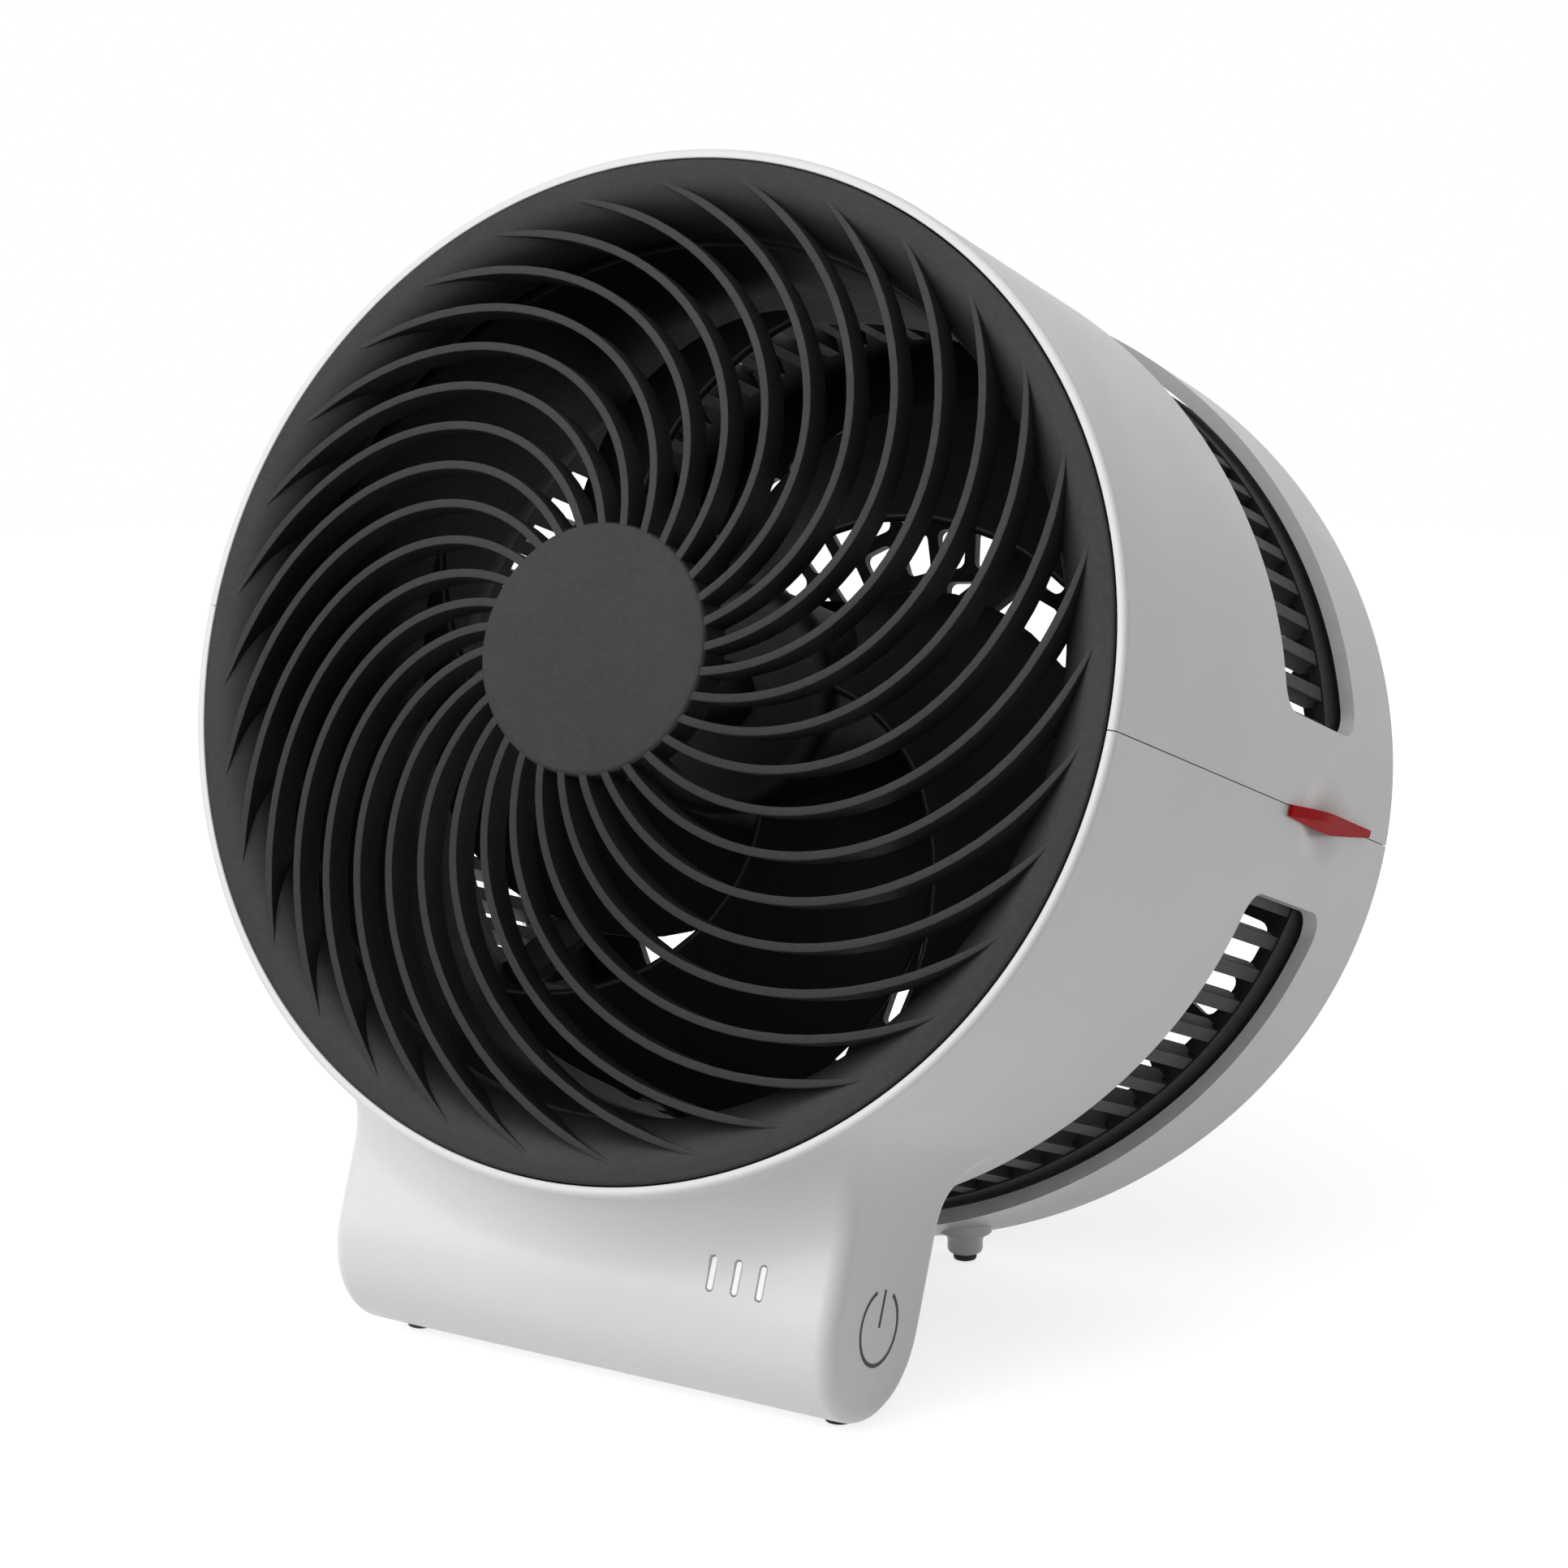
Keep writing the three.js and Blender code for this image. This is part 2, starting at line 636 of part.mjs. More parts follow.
const lightXs = around(
  LIGHT_COUNT,
  (i) => LEG_HALF_WIDTH - LIGHT_INSET - (LIGHT_COUNT - 1 - i) * LIGHT_PITCH,
);
const lightY = legBottom + LIGHT_HEIGHT;

// A bar with round ends, upright in the plane of the grille.
function lightBar(x, grow, front, rear) {
  const radius = LIGHT_WIDTH / 2 + grow;
  const reach = LIGHT_LENGTH / 2 - LIGHT_WIDTH / 2;
  const shape = new THREE.Shape();
  shape.absarc(x, lightY + reach, radius, 0, Math.PI, false);
  shape.absarc(x, lightY - reach, radius, Math.PI, 2 * Math.PI, false);
  return alongAxis(shape, front, rear, 0, 4);
}

// Tongues inside the lower shell that locate the upper one.
function locatingTongues() {
  const tongues = [40, 72].flatMap((front) => [-1, 1].map((side) => {
    const reach = insideRadius(front + 16);
    const [low, high] = [reach - 2.2, reach - FIT];
    const root = block(low, reach + WALL / 2, -9, -PARTING_GAP, front, front + 16);
    const tip = block(low, high, -PARTING_GAP * 2, 5, front, front + 16);
    const tongue = root.add(tip);
    return side > 0 ? tongue : mirrored(tongue, -1, 1);
  }));
  return union(tongues);
}

const leadHole = block(
  LEAD_HOLE_X - LEAD_HOLE / 2,
  LEAD_HOLE_X + LEAD_HOLE / 2,
  -drumRadius(legMiddle) - WALL,
  -insideRadius(legMiddle) + 4 * WALL,
  legMiddle - LEAD_HOLE / 2,
  legMiddle + LEAD_HOLE / 2,
);

const lowerShell = shellHalf(-1, drumTube())
  .add(legOuter)
  .subtract(legCavity)
  .subtract(coverBlock(FIT / 2).subtract(union([...coverPosts, ...padBosses])))
  .add(union([...coverPosts, ...padBosses]))
  .add(union([-REAR_FOOT_X, REAR_FOOT_X].map(footStub)).subtract(drumCore))
  .add(locatingTongues())
  .subtract(union(coverPilots))
  .subtract(union(feet.map(footRecess)))
  .subtract(union(lightXs.map((x) => lightBar(x, 0.3, LEG_FRONT - 1, LEG_FRONT + WALL + 1))))
  .subtract(leadHole);

// ---- Front grille ----

// Back of the dome at a radius: negative, because the dome stands in front of the rim.
function domeBack(radius) {
  const share = THREE.MathUtils.clamp((radius - GRILLE_HUB_R) / (domeEdgeR - GRILLE_HUB_R), 0, 1);
  return -DOME_HEIGHT * (1 - share) - 4 * DOME_SAG * share * (1 - share);
}

// Angle of a rib's middle at a radius.
function ribAngle(radius) {
  const share = (radius - GRILLE_HUB_R) / (domeEdgeR - GRILLE_HUB_R);
  return RIB_FIRST + RIB_TURN * (RIB_STEADY * share + (1 - RIB_STEADY) * share ** 2);
}

const ribPoint = (radius) => new THREE.Vector2().set(
  radius * Math.cos(ribAngle(radius)),
  radius * Math.sin(ribAngle(radius)),
);

// One rib, wound from the hub's skirt out into the rim. Its front follows the dome and its rear
// ends in the rolled rim's wall.
function ribRings() {
  const start = GRILLE_HUB_R - GRILLE_WALL / 2;
  const end = domeEdgeR - RIM_ROLL;
  const radii = around(RIB_STEPS + 1, (i) => start + ((end - start) * i) / RIB_STEPS);
  const sunk = 0.04;
  return [...radii, domeEdgeR].map((radius) => {
    const middle = ribPoint(radius);
    const across = ribPoint(radius + 0.5).sub(ribPoint(radius - 0.5)).normalize();
    const side = new THREE.Vector2(-across.y, across.x);
    const front = domeBack(radius) + sunk;
    const rear = radius < domeEdgeR ? front + RIB_DEPTH : GRILLE_WALL / 2;
    const corner = (half, back) => new THREE.Vector3(
      middle.x + side.x * half,
      middle.y + side.y * half,
      -back,
    );
    return [
      corner(-RIB_WIDTH / 2, front),
      corner(RIB_WIDTH / 2, front),
      corner(RIB_FOOT_WIDTH / 2, rear),
      corner(-RIB_FOOT_WIDTH / 2, rear),
    ];
  });
}

function frontGrille() {
  const rings = ribRings();
  const roll = around(4, (i) => {
    const turn = (i / 3) * (Math.PI / 2);
    return [domeEdgeR - RIM_ROLL * Math.sin(turn), RIM_ROLL_DEPTH * (1 - Math.cos(turn))];
  });
  const under = roll.map(([radius, back]) => [radius + GRILLE_WALL, back + GRILLE_WALL]);
  const skirtInside = GRILLE_R - GRILLE_WALL;
  const rim = turned([
    [GRILLE_R, 0],
    ...roll,
    under[roll.length - 1],
    under[1],
    [skirtInside, GRILLE_WALL],
    [skirtInside, RIM_SKIRT],
    [GRILLE_R, RIM_SKIRT],
  ], SHELL_FACETS);
  const skirt = GRILLE_HUB_R - GRILLE_WALL;
  const hub = turned([
    [0, -DOME_HEIGHT - HUB_CROWN],
    [GRILLE_HUB_R / 2, -DOME_HEIGHT - HUB_CROWN * 0.75],
    [GRILLE_HUB_R, -DOME_HEIGHT],
    [GRILLE_HUB_R, -DOME_HEIGHT + RIB_DEPTH + 1],
    [skirt, -DOME_HEIGHT + RIB_DEPTH + 1],
    [skirt, -DOME_HEIGHT + GRILLE_WALL],
    [0, -DOME_HEIGHT + GRILLE_WALL],
  ], SHELL_FACETS / 2);
  const pitch = (2 * Math.PI) / RIB_COUNT;
  const axis = new THREE.Vector3(0, 0, 1);
  const ribs = around(RIB_COUNT, (i) => loft(
    rings.map((ring) => ring.map((point) => point.clone().applyAxisAngle(axis, i * pitch))),
  ));
  return union([rim, hub, ...ribs]);
}

// ---- Air duct and motor bracket ----

const screwAngles = around(BRACKET_ARMS, (i) => ((i + 0.5) * 2 * Math.PI) / BRACKET_ARMS);
const onScrewCircle = (make) => screwAngles.map((angle) => make(
  screwCircleR * Math.cos(angle),
  screwCircleR * Math.sin(angle),
));

function airDuct() {
  const frontR = insideRadius(ductFront) - FIT - 1.5;
  const wide = ductR + DUCT_WIDENING;
  const mouth = around(3, (i) => {
    const turn = (i / 2) * (Math.PI / 2);
    return [
      ductR + MOUTH_R * (1 - Math.cos(turn)),
      ductRear - MOUTH_LENGTH * (1 - Math.sin(turn)),
    ];
  });
  const body = turned([
    [wide, ductFront],
    [ductR, ductFront + DUCT_TAPER],
    ...mouth,
    [ductFlangeR, ductRear],
    [ductFlangeR, ductRear - DUCT_WALL],
    [ductR + MOUTH_R, ductRear - DUCT_WALL],
    [ductR + DUCT_WALL, ductRear - MOUTH_LENGTH - DUCT_WALL],
    [ductR + DUCT_WALL, ductFront + DUCT_TAPER],
    [wide + DUCT_WALL, ductFront + DUCT_WALL],
    [frontR, ductFront + DUCT_WALL],
    [frontR, ductFront],
  ]);
  const holes = onScrewCircle((x, y) => pin(x, y, SCREW_R + FIT, ductRear - 6, ductRear + 1));
  return body.subtract(union(holes));
}

function motorBracket() {
  const ringInside = ductR + MOUTH_R;
  const ring = tube(ringInside, ductFlangeR, bracketFront, bracketRear);
  const hub = disc(BRACKET_HUB_R, bracketFront, bracketRear);
  const arm = new THREE.BoxGeometry(ringInside + 3 - BRACKET_HUB_R + 6, ARM_WIDTH, BRACKET_T)
    .translate((ringInside + 3 + BRACKET_HUB_R - 6) / 2, 0, -(bracketFront + bracketRear) / 2);
  const rib = new THREE.BoxGeometry(ringInside - 4 - BRACKET_HUB_R + 6, BRACKET_T, ARM_WIDTH)
    .translate((ringInside - 4 + BRACKET_HUB_R - 6) / 2, 0, -(bracketRear + ARM_WIDTH / 2 - 1));
  const arms = screwAngles.flatMap((angle) => [spun(arm, angle), spun(rib, angle)]);
  const holes = onScrewCircle((x, y) => pin(x, y, SCREW_R + FIT, bracketFront - 1, bracketRear + 1));
  return union([ring, hub, ...arms])
    .subtract(disc(tubeR + FIT, bracketFront - 1, bracketRear + ARM_WIDTH + 1, SMALL_FACETS))
    .subtract(union([...holes, ...motorScrewHoles(bracketFront - 1, bracketRear + 1)]));
}

// A pan-head screw pointing forwards, with its head behind the given back.
const screw = (x, y, seat, length) => pin(x, y, SCREW_R, seat - length, seat + 0.5)
  .add(pin(x, y, SCREW_HEAD_R, seat, seat + SCREW_HEAD_T));

// ---- Motor ----

const motorScrewR = BRACKET_HUB_R - 10;
const motorScrewPlaces = around(3, (i) => {
  const angle = (i * 2 * Math.PI) / 3 + Math.PI / 2;
  return [motorScrewR * Math.cos(angle), motorScrewR * Math.sin(angle)];
});

function motorScrewHoles(front, rear) {
  return motorScrewPlaces.map(([x, y]) => pin(x, y, SCREW_R + FIT, front, rear));
}

const motorMount = turned([
  [BEARING_R + 0.3, tubeFront],
  [tubeR, tubeFront],
  [tubeR, mountFront],
  [BRACKET_HUB_R - 5, mountFront],
  [BRACKET_HUB_R - 5, mountRear],
  [SHAFT_R + FIT + 0.6, mountRear],
  [SHAFT_R + FIT + 0.6, mountFront],
  [BEARING_R + 0.3, mountFront - 1],
], MOTOR_FACETS).subtract(union(motorScrewHoles(mountFront - 1, mountRear + 1)));

const rotorCup = turned([
  [SHAFT_R + 0.3, cupFront],
  [cupR - 1.5, cupFront],
  [cupR, cupFront + 1.5],
  [cupR, cupRear],
  [cupR - CUP_WALL, cupRear],
  [cupR - CUP_WALL, cupFront + CUP_WALL],
  [SHAFT_R + 0.3, cupFront + CUP_WALL],
], MOTOR_FACETS);

// A ring with T-shaped teeth, stacked from sheets.
function statorCore() {
  const ringR = tubeR + 4;
  const pitch = (2 * Math.PI) / STATOR_TEETH;
  const neck = 2;
  const shoulder = statorR - 2;
  const half = (statorR * pitch) / 2 - 1.2;
  const corners = around(STATOR_TEETH, (i) => {
    const at = (radius, across) => {
      const angle = i * pitch + Math.asin(across / radius);
      return [radius * Math.cos(angle), radius * Math.sin(angle)];
    };
    return [
      at(ringR, -neck),
      at(shoulder, -neck),
      at(shoulder, -half),
      at(statorR, -half),
      at(statorR, 0),
      at(statorR, half),
      at(shoulder, half),
      at(shoulder, neck),
      at(ringR, neck),
    ];
  });
  const shape = outline(corners.flat());
  shape.holes.push(new THREE.Path().absarc(0, 0, tubeR + FIT, 0, 2 * Math.PI, true));
  return alongAxis(shape, statorFront, statorRear, 0, MOTOR_FACETS / 2);
}

const windingRing = (front, rear) => turned([
  [tubeR + 1.5, front + 1],
  [tubeR + 3, front],
  [statorR - 4, front],
  [statorR - 2.5, front + 1],
  [statorR - 2.5, rear],
  [tubeR + 1.5, rear],
], MOTOR_FACETS);

const bearing = (front) => tube(SHAFT_R + 0.3, BEARING_R, front, front + BEARING_LENGTH, SMALL_FACETS);

// ---- Impeller ----

// A blade section at a radius: broad, cambered, climbing backwards round the fan.
function bladeSection(radius) {
  const share = (radius - IMPELLER_HUB_R) / (bladeTipR - IMPELLER_HUB_R);
  const middle = BLADE_TURN * -share;
  const halfAngle = THREE.MathUtils.lerp(degToRad(25), degToRad(29), share);
  const rise = THREE.MathUtils.lerp(18, 15, share);
  const stations = [-1, -0.5, 0, 0.5, 1];
  const place = (along, towards) => {
    const camber = 3.5 * (1 - along ** 2);
    const thickness = 0.5 + (BLADE_THICKNESS - 0.5) * (1 - along ** 2);
    const angle = middle + along * halfAngle;
    const back = bladeMiddle + along * rise + camber + (towards * thickness) / 2;
    return new THREE.Vector3(radius * Math.cos(angle), radius * Math.sin(angle), -back);
  };
  const frontSide = stations.map((along) => place(along, -1));
  const rearSide = stations.map((along) => place(along, 1)).reverse();
  return [...frontSide, ...rearSide];
}

function impeller() {
  const hub = turned([
    [SHAFT_R + 0.3, impellerFront],
    [IMPELLER_HUB_R - 6, impellerFront],
    [IMPELLER_HUB_R - 2, impellerFront + 1.5],
    [IMPELLER_HUB_R, impellerFront + 6],
    [IMPELLER_HUB_R, impellerRear],
    [IMPELLER_HUB_R - HUB_WALL, impellerRear],
    [IMPELLER_HUB_R - HUB_WALL, cupFront - FIT],
    [SHAFT_R + 0.3, cupFront - FIT],
  ], MOTOR_FACETS);
  const start = IMPELLER_HUB_R - HUB_WALL / 2;
  const sections = around(6, (i) => bladeSection(start + ((bladeTipR - start) * i) / 5));
  const axis = new THREE.Vector3(0, 0, 1);
  const blades = around(BLADE_COUNT, (i) => loft(sections.map((ring) => ring.map(
    (point) => point.clone().applyAxisAngle(axis, (i * 2 * Math.PI) / BLADE_COUNT),
  ))));
  const inside = disc(start, 0, ductRear, MOTOR_FACETS);
  return hub.add(union(blades).subtract(inside));
}

const spinnerNut = turned([
  [0, impellerFront - 7],
  [4, impellerFront - 7],
  [7, impellerFront - 4],
  [9, impellerFront - FIT],
  [0, impellerFront - FIT],
], SMALL_FACETS);

// ---- Rear guard ----

// A ring of openings between radial bars, as holes for a shape.
function openings(inner, outer, count) {
  const pitch = (2 * Math.PI) / count;
  return around(count, (i) => {
    const corner = (radius, side) => {
      const angle = i * pitch + side * (pitch / 2 - Math.asin(REAR_BAR / 2 / radius));
      return new THREE.Vector2(radius * Math.cos(angle), radius * Math.sin(angle));
    };
    return new THREE.Path([corner(inner, -1), corner(outer, -1), corner(outer, 1), corner(inner, 1)]);
  });
}

// The flat back plate, then bent so that it follows the shell's rear edge.
function guardPlate(front, rear) {
  const shape = new THREE.Shape().absarc(0, 0, guardR, 0, 2 * Math.PI, false);
  const outerRowR = guardR - GUARD_BORDER;
  const rowLength = (outerRowR - GUARD_CENTRE_R - ROW_EDGE) / 2;
  shape.holes.push(
    ...openings(GUARD_CENTRE_R, GUARD_CENTRE_R + rowLength, INNER_ROW_BARS),
    ...openings(outerRowR - rowLength, outerRowR, OUTER_ROW_BARS),
  );
  const geometry = geometryOf(alongAxis(shape, front, rear, 0, SHELL_FACETS / 2));
  const points = geometry.attributes.position;
  for (let i = 0; i < points.count; i++) {
    points.setZ(i, points.getZ(i) + edgeArc(0, 0) - edgeArc(0, points.getY(i)));
  }
  return solid(geometry);
}

const plateRear = DRUM_DEPTH - GUARD_INSET;
const plateFront = plateRear - GUARD_T;

// The back plate, with four hooks that snap into the side guard.
function rearGuard() {
  const hookR = guardR - GUARD_WALL - FIT;
  const turns = around(4, (i) => ((i + 0.5) * Math.PI) / 2);
  const hooks = turns.map((angle) => {
    const root = edgeArc(plateFront, hookR * Math.sin(angle)) + GUARD_T / 2;
    const hook = new THREE.BoxGeometry(HOOK_T, HOOK_WIDTH, HOOK_LENGTH + GUARD_T / 2)
      .translate(hookR - HOOK_T, 0, -(root - (HOOK_LENGTH + GUARD_T / 2) / 2));
    return spun(hook, angle);
  });
  return union([guardPlate(plateFront, plateRear), ...hooks]);
}

// The side guard: a ring behind the bracket, bars beside the intake slots and a solid rear band.
function sideGuard() {
  const bandFront = SLOT_REAR - SIDE_BAND;
  const bandLow = edgeArc(bandFront, guardR) - 1;
  const sideBand = tube(guardR - GUARD_WALL, guardR, bandLow, plateRear, SHELL_FACETS)
    .intersect(arcSlab(bandFront, plateFront - 2 * FIT));
  const frontRing = tube(screwCircleR - 3.5, guardR, guardFront, guardFront + GUARD_RING_T);
  const barRear = SLOT_REAR - 2;
  const sideBar = new THREE.BoxGeometry(GUARD_WALL - 0.8, SIDE_BAR, barRear - guardFront - 1)
    .translate(guardR - GUARD_WALL / 2, 0, -(guardFront + 1 + barRear) / 2);
  const clearSide = Math.asin(SLOT_END / guardR);
  const pitch = (2 * Math.PI) / SIDE_PITCHES;
  const angles = around(SIDE_PITCHES, (i) => (i + 0.5) * pitch);
  const seen = angles.filter((angle) => Math.abs(Math.sin(angle)) > Math.sin(clearSide - pitch));
  const sideBars = union(seen.map((angle) => spun(sideBar, angle)))
    .intersect(arcSlab(-FAR / 4, bandFront + SIDE_BAND / 2));
  const holes = onScrewCircle((x, y) => pin(
    x,
    y,
    SCREW_R + FIT,
    guardFront - 1,
    guardFront + GUARD_RING_T + 1,
  ));
  return union([sideBand, frontRing, sideBars])
    .subtract(union(holes));
}

// ---- Latch tab, drawn on the right side ----

function latchTab() {
  const stations = 8;
  const skin = (back) => drumRadius(back) + 0.35;
  const rings = around(stations + 1, (i) => {
    const share = i / stations;
    const swell = Math.sin(Math.PI * share);
    const back = LATCH_FRONT + LATCH_LENGTH * share;
    const half = (LATCH_END_HEIGHT + (LATCH_HEIGHT - LATCH_END_HEIGHT) * swell) / 2;
    const proud = LATCH_END_PROUD + (LATCH_PROUD - LATCH_END_PROUD) * swell;
    const crest = half * 0.55;
    return [[0, -half], [proud * 0.6, -half], [proud, -crest], [proud, crest], [proud * 0.6, half],
      [0, half]].map(([out, y]) => new THREE.Vector3(skin(back) + out, y, -back));
  });
  const plateOut = insideRadius(latchMiddle + SLIDER_LENGTH / 2 + LATCH_TRAVEL) - FIT;
  const plateIn = guardR + FIT;
  const stem = block(
    plateIn,
    skin(latchMiddle) + LATCH_PROUD / 2,
    -STEM_HEIGHT / 2,
    STEM_HEIGHT / 2,
    stemFront,
    stemRear,
  );
  const slider = block(
    plateIn,
    plateOut,
    -SLIDER_HEIGHT / 2,
    SLIDER_HEIGHT / 2,
    latchMiddle - SLIDER_LENGTH / 2,
    latchMiddle + SLIDER_LENGTH / 2,
  );
  return union([loft(rings), stem, slider]);
}

// ---- Leg electronics ----

const boardY = legRoundCentre + 4;
const controlBoardHalf = coverScrewX - BOSS_R - FIT;
const controlBoard = block(
  -controlBoardHalf,
  controlBoardHalf,
  boardY - CONTROL_BOARD_HEIGHT / 2 - 6,
  boardY + CONTROL_BOARD_HEIGHT / 2 - 6,
  legMiddle,
  legMiddle + BOARD_T,
);

const lightBoard = block(
  lightXs[0] - 6,
  lightXs[LIGHT_COUNT - 1] + 6,
  lightY - 8,
  lightY + 5,
  LEG_FRONT + LIGHT_DEPTH + 0.3,
  LEG_FRONT + LIGHT_DEPTH + 0.3 + BOARD_T,
);

function touchBoard() {
  const outside = LEG_HALF_WIDTH - WALL - FIT;
  const round = new THREE.CylinderGeometry(TOUCH_BOARD_R, TOUCH_BOARD_R, BOARD_T, SMALL_FACETS)
    .rotateZ(Math.PI / 2)
    .translate(outside - BOARD_T / 2, legRoundCentre, -legMiddle);
  return solid(round);
}

function powerInlet() {
  const front = legRear - INLET_DEPTH;
  const cup = turned([
    [0, front],
    [INLET_R, front],
    [INLET_R, legRear - 0.2],
    [INLET_BORE_R, legRear - 0.2],
    [INLET_BORE_R, front + 2],
    [INLET_PIN_R, front + 2],
    [INLET_PIN_R, legRear - 2],
    [0, legRear - 2],
  ], SMALL_FACETS);
  return solid(geometryOf(cup).translate(0, inletY, 0));
}

// ---- Materials ----

const material = (color, roughness, metalness = 0) => new THREE.MeshStandardMaterial({
  color,
  roughness,
  metalness,
});

const whitePlastic = material(0xe6e6e4, 0.5);
const blackPlastic = material(0x2e2e2e, 0.55);
const darkPlastic = material(0x1c1c1c, 0.5);
const redPlastic = material(0xc81e1e, 0.35);
const lightPlastic = material(0xfafafa, 0.3);
const rubber = material(0x26262a, 0.9);
const steel = material(0xa8abae, 0.35, 1);
const copper = material(0xb87333, 0.4, 1);
const ferrite = material(0x3a3a3c, 0.7, 0.3);
const board = material(0x1f5c3a, 0.5);

// ---- Assembly ----

const fan = new THREE.Group();
const head = new THREE.Group();
head.rotation.x = Math.PI / 2 - TILT;
head.position.z = axisHeight;
fan.add(head);

function addPart(name, body, finish) {
  const mesh = new THREE.Mesh(geometryOf(body), finish);
  mesh.name = name;
  head.add(mesh);
}

addPart('upper_shell', upperShell, whitePlastic);
addPart('lower_shell', lowerShell, whitePlastic);
addPart('leg_cover', legCover, whitePlastic);
addPart('front_grille', frontGrille(), blackPlastic);
addPart('rear_guard', rearGuard(), blackPlastic);
addPart('side_guard', sideGuard(), blackPlastic);
addPart('air_duct', airDuct(), blackPlastic);
addPart('motor_bracket', motorBracket(), blackPlastic);
addPart('impeller', impeller(), darkPlastic);
addPart('spinner_nut', spinnerNut, darkPlastic);
addPart('rotor_cup', rotorCup, steel);
addPart('magnet_ring', tube(magnetR - MAGNET_T, magnetR, cupFront + 4, cupRear - 1, MOTOR_FACETS), ferrite);
addPart('motor_shaft', disc(SHAFT_R, impellerFront + 0.5, mountFront - 0.5, SMALL_FACETS), steel);
addPart('shaft_clip', tube(SHAFT_R + 0.3, SHAFT_R + 2, tubeFront - 2, tubeFront - 1, TINY_FACETS), steel);
addPart('front_bearing', bearing(tubeFront + 0.5), steel);
addPart('rear_bearing', bearing(mountFront - 1.4 - BEARING_LENGTH), steel);
addPart('motor_mount', motorMount, steel);
addPart('stator_core', statorCore(), ferrite);
addPart('front_winding', windingRing(statorFront - 5, statorFront - 0.3), copper);
addPart('rear_winding', windingRing(statorRear + 0.3, statorRear + 5), copper);
addPart('motor_board', tube(tubeR + 0.5, cupR - 4, cupRear + 0.6, mountFront - 0.6, MOTOR_FACETS), board);

motorScrewPlaces.forEach(([x, y], i) => {
  addPart(`motor_screw_${i + 1}`, screw(x, y, bracketRear + 0.3, BRACKET_T + 3.5), steel);
});

onScrewCircle((x, y) => screw(x, y, guardFront + GUARD_RING_T + 0.3, guardFront - ductRear + 7))
  .forEach((body, i) => addPart(`guard_screw_${i + 1}`, body, steel));

addPart('latch_tab_right', latchTab(), redPlastic);
addPart('latch_tab_left', mirrored(latchTab(), -1, 1), redPlastic);

lightXs.forEach((x, i) => {
  const bar = lightBar(x, 0, LEG_FRONT, LEG_FRONT + LIGHT_DEPTH);
  addPart(`light_bar_${i + 1}`, bar, lightPlastic);
});
addPart('light_board', lightBoard, board);
addPart('control_board', controlBoard, board);
addPart('touch_board', touchBoard(), board);
addPart('power_inlet', powerInlet(), darkPlastic);

[-coverScrewX, coverScrewX].forEach((x, i) => {
  const seat = legRear - SCREW_HEAD_T - 0.1;
  addPart(`cover_screw_${['left', 'right'][i]}`, screw(x, coverScrewY, seat, 9), steel);
});

feet.forEach((foot) => addPart(foot.name, footPad(foot), rubber));

// The origin is under the middle of the fan, on the table.
const reach = new THREE.Box3().setFromObject(fan, true);
fan.position.y = -(reach.min.y + reach.max.y) / 2;

export default fan;
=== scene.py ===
import json
from math import acos, asin, atan2, cos, exp, hypot, pi, radians, sin, sqrt, tan

import bpy
from mathutils import Matrix, Vector

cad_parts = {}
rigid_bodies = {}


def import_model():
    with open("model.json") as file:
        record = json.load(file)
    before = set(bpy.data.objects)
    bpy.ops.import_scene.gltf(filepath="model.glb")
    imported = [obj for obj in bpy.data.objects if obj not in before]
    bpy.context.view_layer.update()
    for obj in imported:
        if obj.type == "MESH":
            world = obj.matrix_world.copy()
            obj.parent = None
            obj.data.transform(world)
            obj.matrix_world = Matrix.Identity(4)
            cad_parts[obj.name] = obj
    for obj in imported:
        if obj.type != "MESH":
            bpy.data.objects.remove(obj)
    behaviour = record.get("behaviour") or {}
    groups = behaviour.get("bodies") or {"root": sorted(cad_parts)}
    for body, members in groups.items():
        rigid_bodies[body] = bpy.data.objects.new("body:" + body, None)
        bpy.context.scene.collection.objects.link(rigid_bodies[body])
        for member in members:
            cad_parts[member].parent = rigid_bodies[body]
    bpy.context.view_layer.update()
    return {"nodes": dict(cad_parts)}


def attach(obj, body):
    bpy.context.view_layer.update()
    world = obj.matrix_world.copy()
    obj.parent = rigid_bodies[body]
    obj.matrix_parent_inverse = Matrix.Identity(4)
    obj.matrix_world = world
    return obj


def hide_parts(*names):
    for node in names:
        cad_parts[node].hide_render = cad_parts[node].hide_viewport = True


for spare in list(bpy.data.objects):
    bpy.data.objects.remove(spare)

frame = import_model()
nodes = frame["nodes"]

# ---- The fan's own sizes, in millimetres ----
# The head is drawn with x to the right, y up in the plane of the grille's rim, and z forwards.
# "Back" is the distance behind the rim's plane. A pair of backs is (front, rear).
# settle() then puts a piece in its place.

QUARTER_TURN, HALF_TURN, FULL_TURN = pi / 2, pi, 2 * pi
MILLIMETRE = 0.001

# The head on the floor
TILT = radians(22.3)
AXIS_HEIGHT = 179.418
HEAD_SHIFT = -75.982
HEAD = (
    Matrix.Translation((0, HEAD_SHIFT * MILLIMETRE, AXIS_HEIGHT * MILLIMETRE))
    @ Matrix.Rotation(QUARTER_TURN - TILT, 4, "X")
    @ Matrix.Scale(MILLIMETRE, 4)
)
UPRIGHT = Matrix.Translation((0, HEAD_SHIFT * MILLIMETRE, 0)) @ Matrix.Scale(MILLIMETRE, 4)

